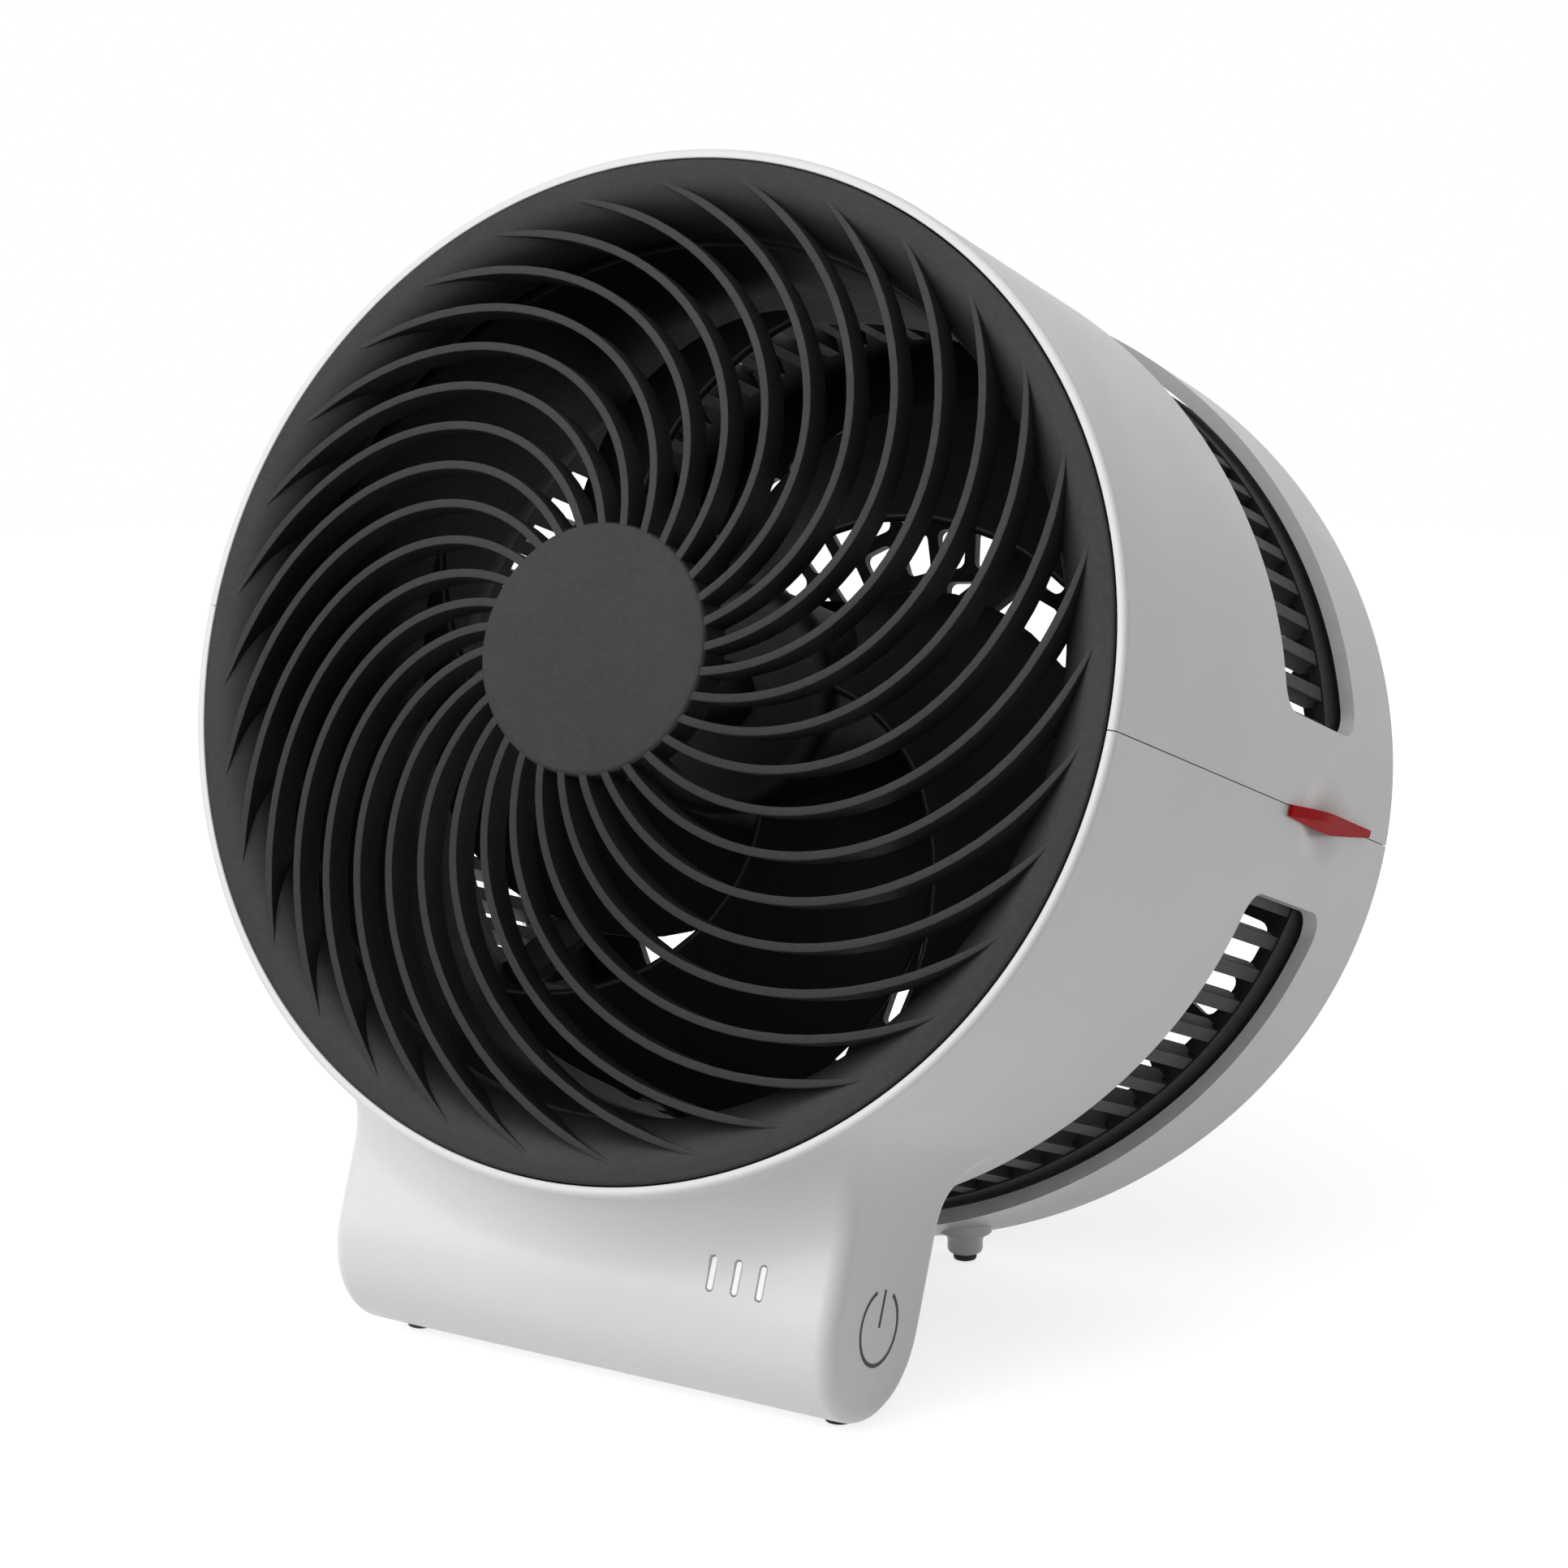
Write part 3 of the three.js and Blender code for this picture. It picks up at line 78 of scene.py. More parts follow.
# Front grille
GRILLE_R = 125
GRILLE_WALL = 2.2
RIM_INNER_R = 118
RIM_FLAT_R = 122
RIM_EDGE_R = 108.5
RIM_ROLL_DEPTH = 13
RIM_REAR = 14.3
HUB_R = 30.5
DOME = 20.9
DOME_BULGE = 5.2
RIBS = 32
RIB_TALL = 9
RIB_HALF, RIB_FOOT_HALF = 1.1, 0.75
RIB_TIP_R = 122
RIB_FADE_R = 113
RIB_START, RIB_SWEEP = -3.4, 67.1
RIB_EVEN_SHARE = 0.63

# Drum, its intake slots, and the latch tabs with the hollows beside them
DRUM_SIDES = 240
SHELL_R = 128.2
DRAFT = tan(radians(0.85))
WALL = 2.8
LIP_ROUND = 1.4
LIP_INSET = 0.35
SHELL_FRONT = 0.4
DEPTH = 184
SIDE_ARC = 414
DUCT_SEAT = (14.7, 17.2)
DUCT_SEAT_TALL = 5
SLOT = (104.5, 154.5)
SLOT_END = 23
SLOT_CORNER = 7
FLANGE = (85, 170)
FLANGE_WALL = 2.5
SEAM_HALF = 0.15
SCOOP = (15.5, 19)
SCOOP_DEPTH = 2.45
SCOOP_BACK = 136
LATCH_SLIT = (130.2, 155)
LATCH_SLIT_HALF = 1.8
STEM, STEM_HALF = (130.6, 148.6), 1.2
SLIDER, SLIDER_HALF = (122.6, 156.6), 5

# Leg, cover, feet and lights
LEG_HALF = 72
LEG_FRONT, LEG_REAR = 27, 75
LEG_MIDDLE = 51
LEG_ROUND = 24
LEG_CENTRE = -144.795
LEG_EDGE = 4.5
LEG_SWEEP = 30
FRONT_FILLET, REAR_FILLET = 19, 8
COVER_TOP = -135.09
COVER_HALF = 53.45
COVER_DEEP = 18
COVER_GAP = 0.2
COVER_SCREW = (46.45, -138.89)
COVER_SCREW_SEAT = 73.5
INLET_Y = -142.99
FEET = {
    "front_left": (-61.25, -7.757, 3.6),
    "front_right": (61.25, -7.757, 3.6),
    "rear_left": (-37.5, 102.735, 3.1),
    "rear_right": (37.5, 102.735, 3.1),
}
LIGHTS_X = (37.5, 44.3, 51.1)
LIGHT_Y = -139.39
LIGHT_HALF_WIDTH, LIGHT_HALF_LENGTH = 0.75, 4.1
LIGHT_GROOVE = 0.42

# Rear guard and side basket
GUARD_R = 120.6
GUARD_PLATE = (177.3, 180.5)
GUARD_BAND = (146.5, 176.5)
GUARD_RING = (98.5, 101.5)
BAND_WALL = 2.8
SIDE_PITCHES = 80
BAR_HALF = 1.9
BAR_DEEP = 6.6
BACK_ROWS = ((44, 55, 26), (58.5, 69.5, 36), (73, 83, 46), (86.5, 104, 40))
BACK_BAR = 3.2
SCREW_CIRCLE_R = 114.1
SCREW_PROUD = 0.3

# Air duct, motor bracket and impeller
DUCT_R = 105.9
DUCT_WALL = 2
DUCT_FLARE = 4.5
DUCT_FRONT, DUCT_REAR = 17.6, 94.5
DUCT_NECK = 39.6
DUCT_FLANGE_R = 117.8
BRACKET = (94.9, 98.1)
MOTOR_SCREW_CIRCLE_R = 24
BLADES = 5
BLADE_ROOT_R, BLADE_TIP_R = 29, 102.6
BLADE_MIDDLE = 65
BLADE_RISE, BLADE_FLATTER, BLADE_CAMBER = 18, 3, 3.5
BLADE_THICK = 2.2
BLADE_HALF = radians(31)
BLADE_SWEEP = radians(75)
BLADE_SLIM = 0.7
FAN_PHASE = radians(43)


def drum_radius(back):
    return SHELL_R - back * DRAFT


def side_arc(at, y):
    """Back of a point at height y on an edge arc that crosses the axis at the given back."""
    return at - SIDE_ARC + sqrt(SIDE_ARC**2 - y * y)


def steps(count, first, last):
    return [first + (last - first) * i / count for i in range(count + 1)]


def arc(centre, radius, first, last, count):
    """Points along a circle from one angle to another."""
    return [(centre[0] + radius * cos(a), centre[1] + radius * sin(a))
            for a in steps(count, first, last)]


# ---- Ways of shaping ----


def deselect_all():
    if bpy.context.object and bpy.context.object.mode != "OBJECT":
        bpy.ops.object.mode_set(mode="OBJECT")
    bpy.ops.object.select_all(action="DESELECT")


def take(piece):
    deselect_all()
    piece.select_set(True)
    bpy.context.view_layer.objects.active = piece
    return piece


def named(piece, name):
    piece.name = piece.data.name = name
    return piece


def primitive(name, maker, **values):
    """A new piece from one of the modeller's primitives."""
    deselect_all()
    maker(**values)
    return named(bpy.context.object, name)


def extrude(step):
    bpy.ops.mesh.extrude_region_move(TRANSFORM_OT_translate={"value": step})


def rotate(angle, centre):
    """In edit mode, turn what is selected about a line along the axis."""
    bpy.ops.transform.rotate(value=angle, orient_axis="Z", center_override=centre)


def apply_transform():
    bpy.ops.object.transform_apply(location=True, rotation=True, scale=True)


def placed(piece, matrix):
    """Move the piece's own shape by a matrix."""
    take(piece)
    piece.matrix_world = matrix @ piece.matrix_world
    apply_transform()
    return piece


def edit(piece, kind="VERT"):
    take(piece)
    bpy.ops.object.mode_set(mode="EDIT")
    bpy.ops.mesh.select_mode(type=kind)
    bpy.ops.mesh.select_all(action="SELECT")


def leave_edit():
    bpy.ops.object.mode_set(mode="OBJECT")


def pick_edges(piece, wanted):
    """Open a piece with only the edges selected whose two vertices pass the test."""
    edit(piece, "EDGE")
    bpy.ops.mesh.select_all(action="DESELECT")
    leave_edit()
    vertices = piece.data.vertices
    for line in piece.data.edges:
        line.select = wanted(*[vertices[number] for number in line.vertices])
    bpy.ops.object.mode_set(mode="EDIT")


def clean(piece):
    """Merge doubles and turn the faces outwards."""
    edit(piece)
    bpy.ops.mesh.remove_doubles(threshold=0.002)
    bpy.ops.mesh.delete_loose()
    bpy.ops.mesh.select_all(action="SELECT")
    bpy.ops.mesh.normals_make_consistent(inside=False)
    leave_edit()
    return piece


def line_drawing(name, points, closed=True):
    """A line through the points, pulled out of a single vertex."""
    piece = primitive(name, bpy.ops.mesh.primitive_plane_add, size=1, location=(0, 0, 0))
    edit(piece)
    bpy.ops.mesh.merge(type="CENTER")
    bpy.ops.transform.translate(value=points[0])
    path = list(points) + ([points[0]] if closed else [])
    for here, there in zip(path, path[1:]):
        extrude(Vector(there) - Vector(here))
    bpy.ops.mesh.select_all(action="SELECT")
    bpy.ops.mesh.remove_doubles(threshold=0.001)
    leave_edit()
    return piece


def turned(name, profile, sides=DRUM_SIDES):
    """A closed profile of [radius, back] points, spun about the fan's axis."""
    piece = line_drawing(name, [(radius, 0, -back) for radius, back in profile])
    edit(piece)
    bpy.ops.mesh.spin(steps=sides, angle=FULL_TURN, center=(0, 0, 0), axis=(0, 0, 1))
    leave_edit()
    return clean(piece)


def tube(name, inner, outer, front, rear, sides=DRUM_SIDES):
    """A plain ring between two radii and two backs."""
    return turned(name, [(inner, front), (outer, front), (outer, rear), (inner, rear)], sides)


def pulled(name, outline, reach):
    """A flat closed outline, filled and pulled along reach."""
    piece = line_drawing(name, outline)
    edit(piece)
    bpy.ops.mesh.edge_face_add()
    extrude(reach)
    leave_edit()
    return clean(piece)


def across(name, outline, half):
    """An outline of [y, back] points pulled across the fan."""
    return pulled(name, [(-half, y, -back) for y, back in outline], (2 * half, 0, 0))


def along(name, outline, front, rear):
    """An outline of [x, y] points pulled along the axis."""
    return pulled(name, [(x, y, -front) for x, y in outline], (0, 0, front - rear))


def block(name, low, high):
    """A box between two corners."""
    piece = primitive(name, bpy.ops.mesh.primitive_cube_add, size=1,
                      location=[(a + b) / 2 for a, b in zip(low, high)])
    bpy.ops.transform.resize(value=[b - a for a, b in zip(low, high)])
    apply_transform()
    return piece


def drum_block(name, low, high, front, rear):
    return block(name, (low[0], low[1], -rear), (high[0], high[1], -front))


def apply_modifier(piece, modifier):
    take(piece)
    bpy.ops.object.modifier_apply(modifier=modifier.name)


def discard(piece):
    bpy.data.objects.remove(piece)


def copy_of(piece, name):
    twin = piece.copy()
    twin.data = piece.data.copy()
    bpy.context.scene.collection.objects.link(twin)
    return named(twin, name)


def combine(piece, tool, how):
    step = piece.modifiers.new("combine", "BOOLEAN")
    step.operation, step.object, step.solver = how, tool, "MANIFOLD"
    apply_modifier(piece, step)
    discard(tool)
    return piece


def cut(piece, *tools):
    for tool in tools:
        combine(piece, tool, "DIFFERENCE")
    return piece


def add(piece, *others):
    for other in others:
        combine(piece, other, "UNION")
    return piece


def keep_inside(piece, tool):
    return combine(piece, tool, "INTERSECT")


def joined(name, pieces):
    """Several pieces made one object without merging them."""
    deselect_all()
    for piece in pieces:
        piece.select_set(True)
    bpy.context.view_layer.objects.active = pieces[0]
    bpy.ops.object.join()
    return named(pieces[0], name)


def flipped(piece, axis):
    """Mirror a piece about the head's middle and turn its faces out again."""
    return clean(placed(piece, Matrix.Diagonal([-1 if i == axis else 1 for i in range(4)])))


def turned_copies(piece, count):
    """Copies of all of a piece's faces round the fan's axis, in the same mesh."""
    edit(piece)
    bpy.ops.mesh.spin(steps=count - 1, dupli=True, angle=FULL_TURN * (count - 1) / count,
                      center=(0, 0, 0), axis=(0, 0, 1))
    leave_edit()
    return piece


def soften(piece, width, segments=2, angle=35):
    """Round the sharp edges a little."""
    edit(piece)
    bpy.ops.mesh.dissolve_degenerate(threshold=0.01)
    leave_edit()
    rounding = piece.modifiers.new("rounding", "BEVEL")
    rounding.width, rounding.segments = width, segments
    rounding.limit_method, rounding.angle_limit = "ANGLE", radians(angle)
    rounding.miter_outer = "MITER_ARC"
    apply_modifier(piece, rounding)
    return piece


def smooth(piece, angle=32):
    take(piece)
    bpy.ops.object.shade_smooth_by_angle(angle=radians(angle))
    even = piece.modifiers.new("even shading", "WEIGHTED_NORMAL")
    even.keep_sharp = True
    apply_modifier(piece, even)
    return piece


def settle(piece, name, body, *replaced, place=HEAD):
    """Name a finished piece, put it in its place on the fan and let it ride on its body."""
    placed(named(piece, name), place)
    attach(piece, body)
    if replaced:
        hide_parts(*replaced)
    return piece


# ---- Shells ----


def arc_slab(name, front, rear):
    """Everything between two edge arcs."""
    heights = steps(40, -150, 150)
    outline = [(y, side_arc(front, y)) for y in heights]
    outline += [(y, side_arc(rear, y)) for y in reversed(heights)]
    return across(name, outline, 150)


def slot_cutter(side, grow=0):
    """The long intake slot with its rounded ends; grow makes it wider all round."""
    near, radius, beyond_drum = SLOT_END + SLOT_CORNER, SLOT_CORNER + grow, 138
    front, rear = side_arc(SLOT[0], near) - grow, side_arc(SLOT[1], near) + grow
    high = steps(24, near, beyond_drum)[1:]
    outline = arc((near, front + radius), radius, HALF_TURN, 1.5 * pi, 8)
    outline += [(y, side_arc(SLOT[0], y) - grow) for y in high]
    outline += [(y, side_arc(SLOT[1], y) + grow) for y in reversed(high)]
    outline += arc((near, rear - radius), radius, QUARTER_TURN, HALF_TURN, 8)
    cutter = across("slot cutter", outline, 400)
    return cutter if side > 0 else flipped(cutter, 1)


def drum_tube():
    """The whole drum's wall with its rounded front lip and the ledge that carries the duct."""
    beyond = DEPTH + 6
    front, rear = DUCT_SEAT
    lip = arc((SHELL_R - LIP_INSET - LIP_ROUND, SHELL_FRONT + LIP_ROUND), LIP_ROUND,
              -QUARTER_TURN, 0, 7)
    seat = drum_radius(front) - WALL - DUCT_SEAT_TALL
    drum = turned("drum", [
        (SHELL_R - WALL, SHELL_FRONT + 0.2), (SHELL_R - WALL + 0.2, SHELL_FRONT), *lip,
        (drum_radius(beyond), beyond), (drum_radius(beyond) - WALL, beyond),
        (drum_radius(rear) - WALL, rear), (seat, rear), (seat, front),
        (drum_radius(front) - WALL, front)])
    return keep_inside(drum, arc_slab("depth", -100, DEPTH - 0.3))


def slot_flange(side):
    """The inward lip that goes round the intake slot."""
    ring = tube("flange", GUARD_R + 1.5, drum_radius(SLOT[1]) - WALL / 2, *FLANGE)
    return keep_inside(ring, slot_cutter(side, FLANGE_WALL))


def latch_slit(side):
    """The slit through the wall that a latch tab's stem slides in."""
    inside, outside = 117, 133
    low_x, high_x = (inside, outside) if side > 0 else (-outside, -inside)
    return drum_block(
        "latch slit", (low_x, -LATCH_SLIT_HALF), (high_x, LATCH_SLIT_HALF), *LATCH_SLIT)


def finger_scoop(side):
    """A soft hollow in the drum's side, deepest at the middle of the latch tab."""
    below_seam, fall = 0.5, 4
    sheet = primitive("finger scoop", bpy.ops.mesh.primitive_grid_add,
                      x_subdivisions=44, y_subdivisions=44, size=2)
    for vertex in sheet.data.vertices:
        away = vertex.co.x**2 + vertex.co.y**2
        y, back = SCOOP[0] * vertex.co.y - below_seam, SCOOP_BACK + SCOOP[1] * vertex.co.x
        deep = SCOOP_DEPTH * (exp(-fall * away) - exp(-fall))
        vertex.co = (side * (sqrt(drum_radius(back) ** 2 - y * y) - deep), y, -back)
    edit(sheet)
    extrude((side * 10, 0, 0))
    leave_edit()
    return clean(sheet)


def shell_half(side):
    """The drum's half above (1) or below (-1) the seam."""
    low, high = (SEAM_HALF, 200) if side > 0 else (-200, -SEAM_HALF)
    shell = keep_inside(drum_tube(), block("half", (-200, low, -300), (200, high, 100)))
    add(shell, slot_flange(side))
    cut(shell, finger_scoop(1), finger_scoop(-1))
    return cut(shell, slot_cutter(side), latch_slit(1), latch_slit(-1))


upper_shell = smooth(soften(shell_half(1), 0.35))
settle(upper_shell, "upper_casing_shell", "upper_casing", "upper_shell")

# ---- Leg ----


def leg_side_view(inset, top):
    """The leg's side view, a bar with a round bottom."""
    bottom = arc((LEG_CENTRE, LEG_MIDDLE), LEG_ROUND - inset, QUARTER_TURN, 1.5 * pi, 24)
    return [(top, LEG_REAR - inset), *bottom, (top, LEG_FRONT + inset)]


LEG_DRUM = drum_radius(LEG_REAR + REAR_FILLET) - 0.15
LEG_TOP_R = LEG_DRUM - 2.2
INSIDE_DRUM_TOP = -sqrt((LEG_DRUM - WALL - 4) ** 2 - LEG_HALF**2)
FLARE_START = -sqrt((LEG_DRUM + LEG_SWEEP) ** 2 - (LEG_HALF + LEG_SWEEP) ** 2)


def leg_rows():
    """The leg's right edge as (x, y) points, from the round bottom up the sweep into the drum."""
    centre_x = LEG_HALF + LEG_SWEEP
    end = atan2(-FLARE_START, -centre_x)
    rows = [(LEG_HALF, LEG_CENTRE - LEG_ROUND * cos(a)) for a in steps(14, 0, QUARTER_TURN)]
    rows += [(LEG_HALF, y) for y in steps(9, LEG_CENTRE, FLARE_START)[1:]]
    rows += arc((centre_x, FLARE_START), LEG_SWEEP, HALF_TURN, end, 14)[1:]
    x, y = rows[-1]
    inside = LEG_TOP_R / LEG_DRUM
    return rows + [(x * inside, y * inside)]


def fillet_rise(from_axis, radius):
    """How far a hollow fillet between the drum and the leg stands out from the leg's face."""
    near = min(max((LEG_DRUM + radius - from_axis) / radius, 0), 1)
    return radius * (1 - sqrt(1 - near * near))


def leg_section(side, height, bend):
    """The closed section of [x, y, back] points through the leg's right edge point."""
    lowered = min(0, height - LEG_CENTRE)
    spare = LEG_ROUND + lowered
    last = QUARTER_TURN if spare >= LEG_EDGE else acos(1 - spare / LEG_EDGE)
    half = [((side - LEG_EDGE) * i / 14, 0) for i in range(14)]
    half += arc((side - LEG_EDGE, LEG_EDGE), LEG_EDGE, -QUARTER_TURN, last - QUARTER_TURN, 6)
    points = []
    for towards, radius in ((-1, FRONT_FILLET), (1, REAR_FILLET)):
        line = [(-x, inset) for x, inset in reversed(half[1:])] + half
        if towards > 0:
            line.reverse()
        for x, inset in line:
            dip = sqrt(LEG_TOP_R**2 - side**2) - sqrt(LEG_TOP_R**2 - x * x)
            y = height + bend * dip
            thick = sqrt(max((LEG_ROUND - inset) ** 2 - lowered**2, 0))
            back = LEG_MIDDLE + towards * (thick + fillet_rise(hypot(x, y), radius))
            points.append((x, y, back))
    return points


def leg_solid():
    """A sheet of faces, wrapped round the leg's sections from the bottom up and closed on top."""
    rows = leg_rows()
    top = rows[-1][1]
    sections = [leg_section(x, y, min(max((y - LEG_CENTRE) / (top - LEG_CENTRE), 0), 1))
                for x, y in rows]
    across_by, up_by = len(sections[0]), len(sections) - 1
    sheet = primitive("leg", bpy.ops.mesh.primitive_grid_add,
                      x_subdivisions=across_by, y_subdivisions=up_by, size=1)
    for vertex in sheet.data.vertices:
        column = round((vertex.co.x + 0.5) * across_by) % across_by
        x, y, back = sections[round((vertex.co.y + 0.5) * up_by)][column]
        vertex.co = (x, y, -back)
    clean(sheet)
    edit(sheet, "EDGE")
    bpy.ops.mesh.select_all(action="DESELECT")
    bpy.ops.mesh.select_non_manifold(extend=False)
    bpy.ops.mesh.edge_face_add()
    leave_edit()
    return clean(sheet)


def drum_core(inset=WALL / 2):
    """The space inside the drum, as far as an inset from its outer face."""
    return turned("drum core", [
        (0, 0), (SHELL_R - inset, 0), (drum_radius(300) - inset, 300), (0, 300)])


def leg_cavity():
    """The hollow in the leg, that stops below the drum."""
    cavity = across("leg cavity", leg_side_view(WALL, INSIDE_DRUM_TOP), LEG_HALF - WALL)
    return cut(cavity, drum_core(0))


def cover_block(gap):
    return drum_block(
        "cover block", (-COVER_HALF - gap, -300), (COVER_HALF + gap, COVER_TOP + gap),
        LEG_REAR - COVER_DEEP - gap, 300,
    )


leg = cut(leg_solid(), drum_core())
cut(leg, leg_cavity())

cover = keep_inside(copy_of(leg, "cover"), cover_block(0))


def pin(name, x, y, radius, front, rear, sides=48):
    """A straight round pin along the axis, used to cut holes."""
    piece = primitive(
        name, bpy.ops.mesh.primitive_cylinder_add, vertices=sides, radius=radius,
        depth=rear - front, location=(x, y, -(front + rear) / 2))
    apply_transform()
    return piece


def upright(name, x, y, profile, sides=64):
    """A profile of [radius, height] points turned about an upright line."""
    piece = turned(name, [(radius, -height) for radius, height in profile], sides)
    return placed(piece, Matrix.Translation((x, y, 0)))


def in_head(piece):
    """An upright piece's place, written in the head's own directions."""
    return placed(piece, HEAD.inverted() @ UPRIGHT)


def foot_stub(foot):
    """The round stub under the drum that a rear foot pad sits in."""
    x, y = FEET[foot][:2]
    flare = [
        (4.7 + 2.4 * (1 - cos(a)), 5.1 + 3 * sin(a)) for a in steps(6, 0, QUARTER_TURN)
    ]
    stub = upright("stub", x, y, [
        (0, 2.1), (3.7, 2.1), (4.4, 2.4), (4.7, 3.1), *flare, (7.1, 18.1), (0, 18.1)])
    return cut(in_head(stub), drum_core())


def pad_recess(foot):
    x, y, radius = FEET[foot]
    return in_head(upright("recess", x, y, [
        (0, 1.1), (radius + 0.4, 1.1), (radius + 0.4, 4.1), (0, 4.1)]))


def light_cutter(x, grow):
    """A light bar, or with grow the groove round it."""
    radius, reach = LIGHT_HALF_WIDTH + grow, LIGHT_HALF_LENGTH - LIGHT_HALF_WIDTH
    ends = arc((x, LIGHT_Y + reach), radius, 0, HALF_TURN, 10)
    ends += arc((x, LIGHT_Y - reach), radius, HALF_TURN, FULL_TURN, 10)
    front = LEG_FRONT - 2 if grow else LEG_FRONT + 0.05
    return along("light bar", ends, front, LEG_FRONT + 6)


cut(cover, pin("inlet hole", 0, INLET_Y, 5.9, 60, 80))
for side in (-1, 1):
    x, y = side * COVER_SCREW[0], COVER_SCREW[1]
    cut(cover, pin("screw hole", x, y, 1.5, 60, 80), pin("head hole", x, y, 3.2, 73.2, 80))

lower_shell = cut(add(shell_half(-1), leg), cover_block(COVER_GAP))
for foot in ("rear_left", "rear_right"):
    add(lower_shell, foot_stub(foot))
for foot in FEET:
    cut(lower_shell, pad_recess(foot))
for x in LIGHTS_X:
    cut(lower_shell, light_cutter(x, LIGHT_GROOVE))

settle(smooth(soften(lower_shell, 0.35)), "lower_casing_shell", "housing", "lower_shell")
settle(smooth(soften(cover, 0.3)), "rear_cover", "housing", "leg_cover")

pads = []
for foot, (x, y, radius) in FEET.items():
    pad = upright("pad", x, y, [
        (0, 0.3), (radius - 1.4, 0.3), (radius - 1.1, 0), (radius - 0.6, 0), (radius - 0.15, 0.2),
        (radius, 0.65), (radius, 3.7), (0, 3.7)])
    settle(smooth(pad), "rubber_pad_" + foot, "housing", "foot_pad_" + foot, place=UPRIGHT)
    pads.append(pad)

light_bars = []
for number, x in enumerate(LIGHTS_X, 1):
    bar = smooth(soften(light_cutter(x, 0), 0.2))
    settle(bar, f"status_light_{number}", "housing", f"light_bar_{number}")
    light_bars.append(bar)

# ---- Front grille ----


def dome_back(radius):
    share = min(max((radius - HUB_R) / (RIM_INNER_R - HUB_R), 0), 1)
    return -DOME * (1 - share) - DOME_BULGE * share * (1 - share)


def rib_angle(radius):
    share = (radius - HUB_R) / (RIM_INNER_R - HUB_R)
    swept = RIB_EVEN_SHARE * share + (1 - RIB_EVEN_SHARE) * share**2
    return radians(RIB_START + RIB_SWEEP * swept)


def rib_point(radius):
    angle = rib_angle(radius)
    return Vector((radius * cos(angle), radius * sin(angle), 0))


def roll_back(radius):
    """How far the rim's rolled inner edge lies behind the rim's plane."""
    inwards = min(max((RIM_FLAT_R - radius) / (RIM_FLAT_R - RIM_EDGE_R), 0), 1)
    return RIM_ROLL_DEPTH * (1 - sqrt(1 - inwards * inwards))


def spiral_rib():
    """One rib, pulled from the hub out station by station, that thins out on the rolled rim."""
    radii = steps(26, HUB_R - 1.1, RIM_EDGE_R) + steps(9, RIM_EDGE_R + 1.5, RIB_TIP_R)

    def station(radius):
        run = rib_point(radius + 0.5) - rib_point(radius - 0.5)
        middle = rib_point(radius)
        sunk = 0.04 + 0.24 * max(radius - RIM_INNER_R, 0) / (RIB_TIP_R - RIM_INNER_R)
        middle.z = -dome_back(radius) - sunk
        tall = min(RIB_TALL, roll_back(radius) - dome_back(radius) + 1.3)
        fading = max(radius - RIB_FADE_R, 0) / (RIB_TIP_R - RIB_FADE_R)
        return middle, atan2(run.y, run.x), tall, 1 - 0.5 * fading

    middle, heading, tall, wide = station(radii[0])
    rib = line_drawing("spiral rib", [
        (0, -RIB_HALF, 0), (0, RIB_HALF, 0), (0, RIB_FOOT_HALF, -RIB_TALL),
        (0, -RIB_FOOT_HALF, -RIB_TALL)])
    edit(rib)
    bpy.ops.mesh.edge_face_add()
    rotate(-heading, (0, 0, 0))
    bpy.ops.transform.translate(value=middle)
    for radius in radii[1:]:
        ahead, turn, new_tall, new_wide = station(radius)
        extrude(ahead - middle)
        rotate(heading - turn, ahead)
        thinner = new_wide / wide
        bpy.ops.transform.resize(value=(thinner, thinner, new_tall / tall), center_override=ahead)
        middle, heading, tall, wide = ahead, turn, new_tall, new_wide
    leave_edit()
    return turned_copies(soften(clean(rib), 0.35, 2, 40), RIBS)


def grille_rim():
    roll = [(radius, roll_back(radius)) for radius in (
        RIM_FLAT_R - (RIM_FLAT_R - RIM_EDGE_R) * sin(a) for a in steps(18, 0, QUARTER_TURN))]
    under = [(radius + GRILLE_WALL, back + GRILLE_WALL) for radius, back in reversed(roll)]
    inside = GRILLE_R - GRILLE_WALL
    return turned("rim", [
        (GRILLE_R, 0.5), (GRILLE_R - 0.1, 0.2), (GRILLE_R - 0.4, 0.05), (GRILLE_R - 0.9, 0), *roll,
        *under, (inside, GRILLE_WALL), (inside, RIM_REAR), (GRILLE_R, RIM_REAR)])


def grille_hub():
    """The hub disc, slightly crowned, with a skirt that the ribs run into."""
    skirt = HUB_R - GRILLE_WALL
    return turned("hub", [
        (0, -DOME - 1), (HUB_R * 0.35, -DOME - 0.93), (HUB_R * 0.7, -DOME - 0.68),
        (HUB_R - 1.2, -DOME - 0.3), (HUB_R - 0.4, -DOME), (HUB_R, -DOME + 0.6), (HUB_R, -DOME + 10),
        (skirt, -DOME + 10), (skirt, -DOME + GRILLE_WALL), (0, -DOME + GRILLE_WALL)], 128)


grille = smooth(add(grille_rim(), grille_hub(), spiral_rib()), 30)
settle(grille, "spiral_grille", "housing", "front_grille")

# ---- Rear guard and side guard ----


def row_of_slots(inner, outer, count):
    """Radial openings with round ends, modelled once and copied round the axis."""
    pitch = FULL_TURN / count
    side = [(radius, pitch / 2 - asin(BACK_BAR / 2 / radius)) for radius in (inner, outer)]
    near, far = [(radius * cos(a), radius * sin(a)) for radius, a in side]
    opening = along("opening", [near, far, (far[0], -far[1]), (near[0], -near[1])], 120, 200)
    pick_edges(opening, lambda here, there: abs(here.co.z - there.co.z) > 10)
    bpy.ops.mesh.bevel(offset=near[1] * 0.6, segments=4, affect="EDGES")
    leave_edit()
    return turned_copies(clean(opening), count)


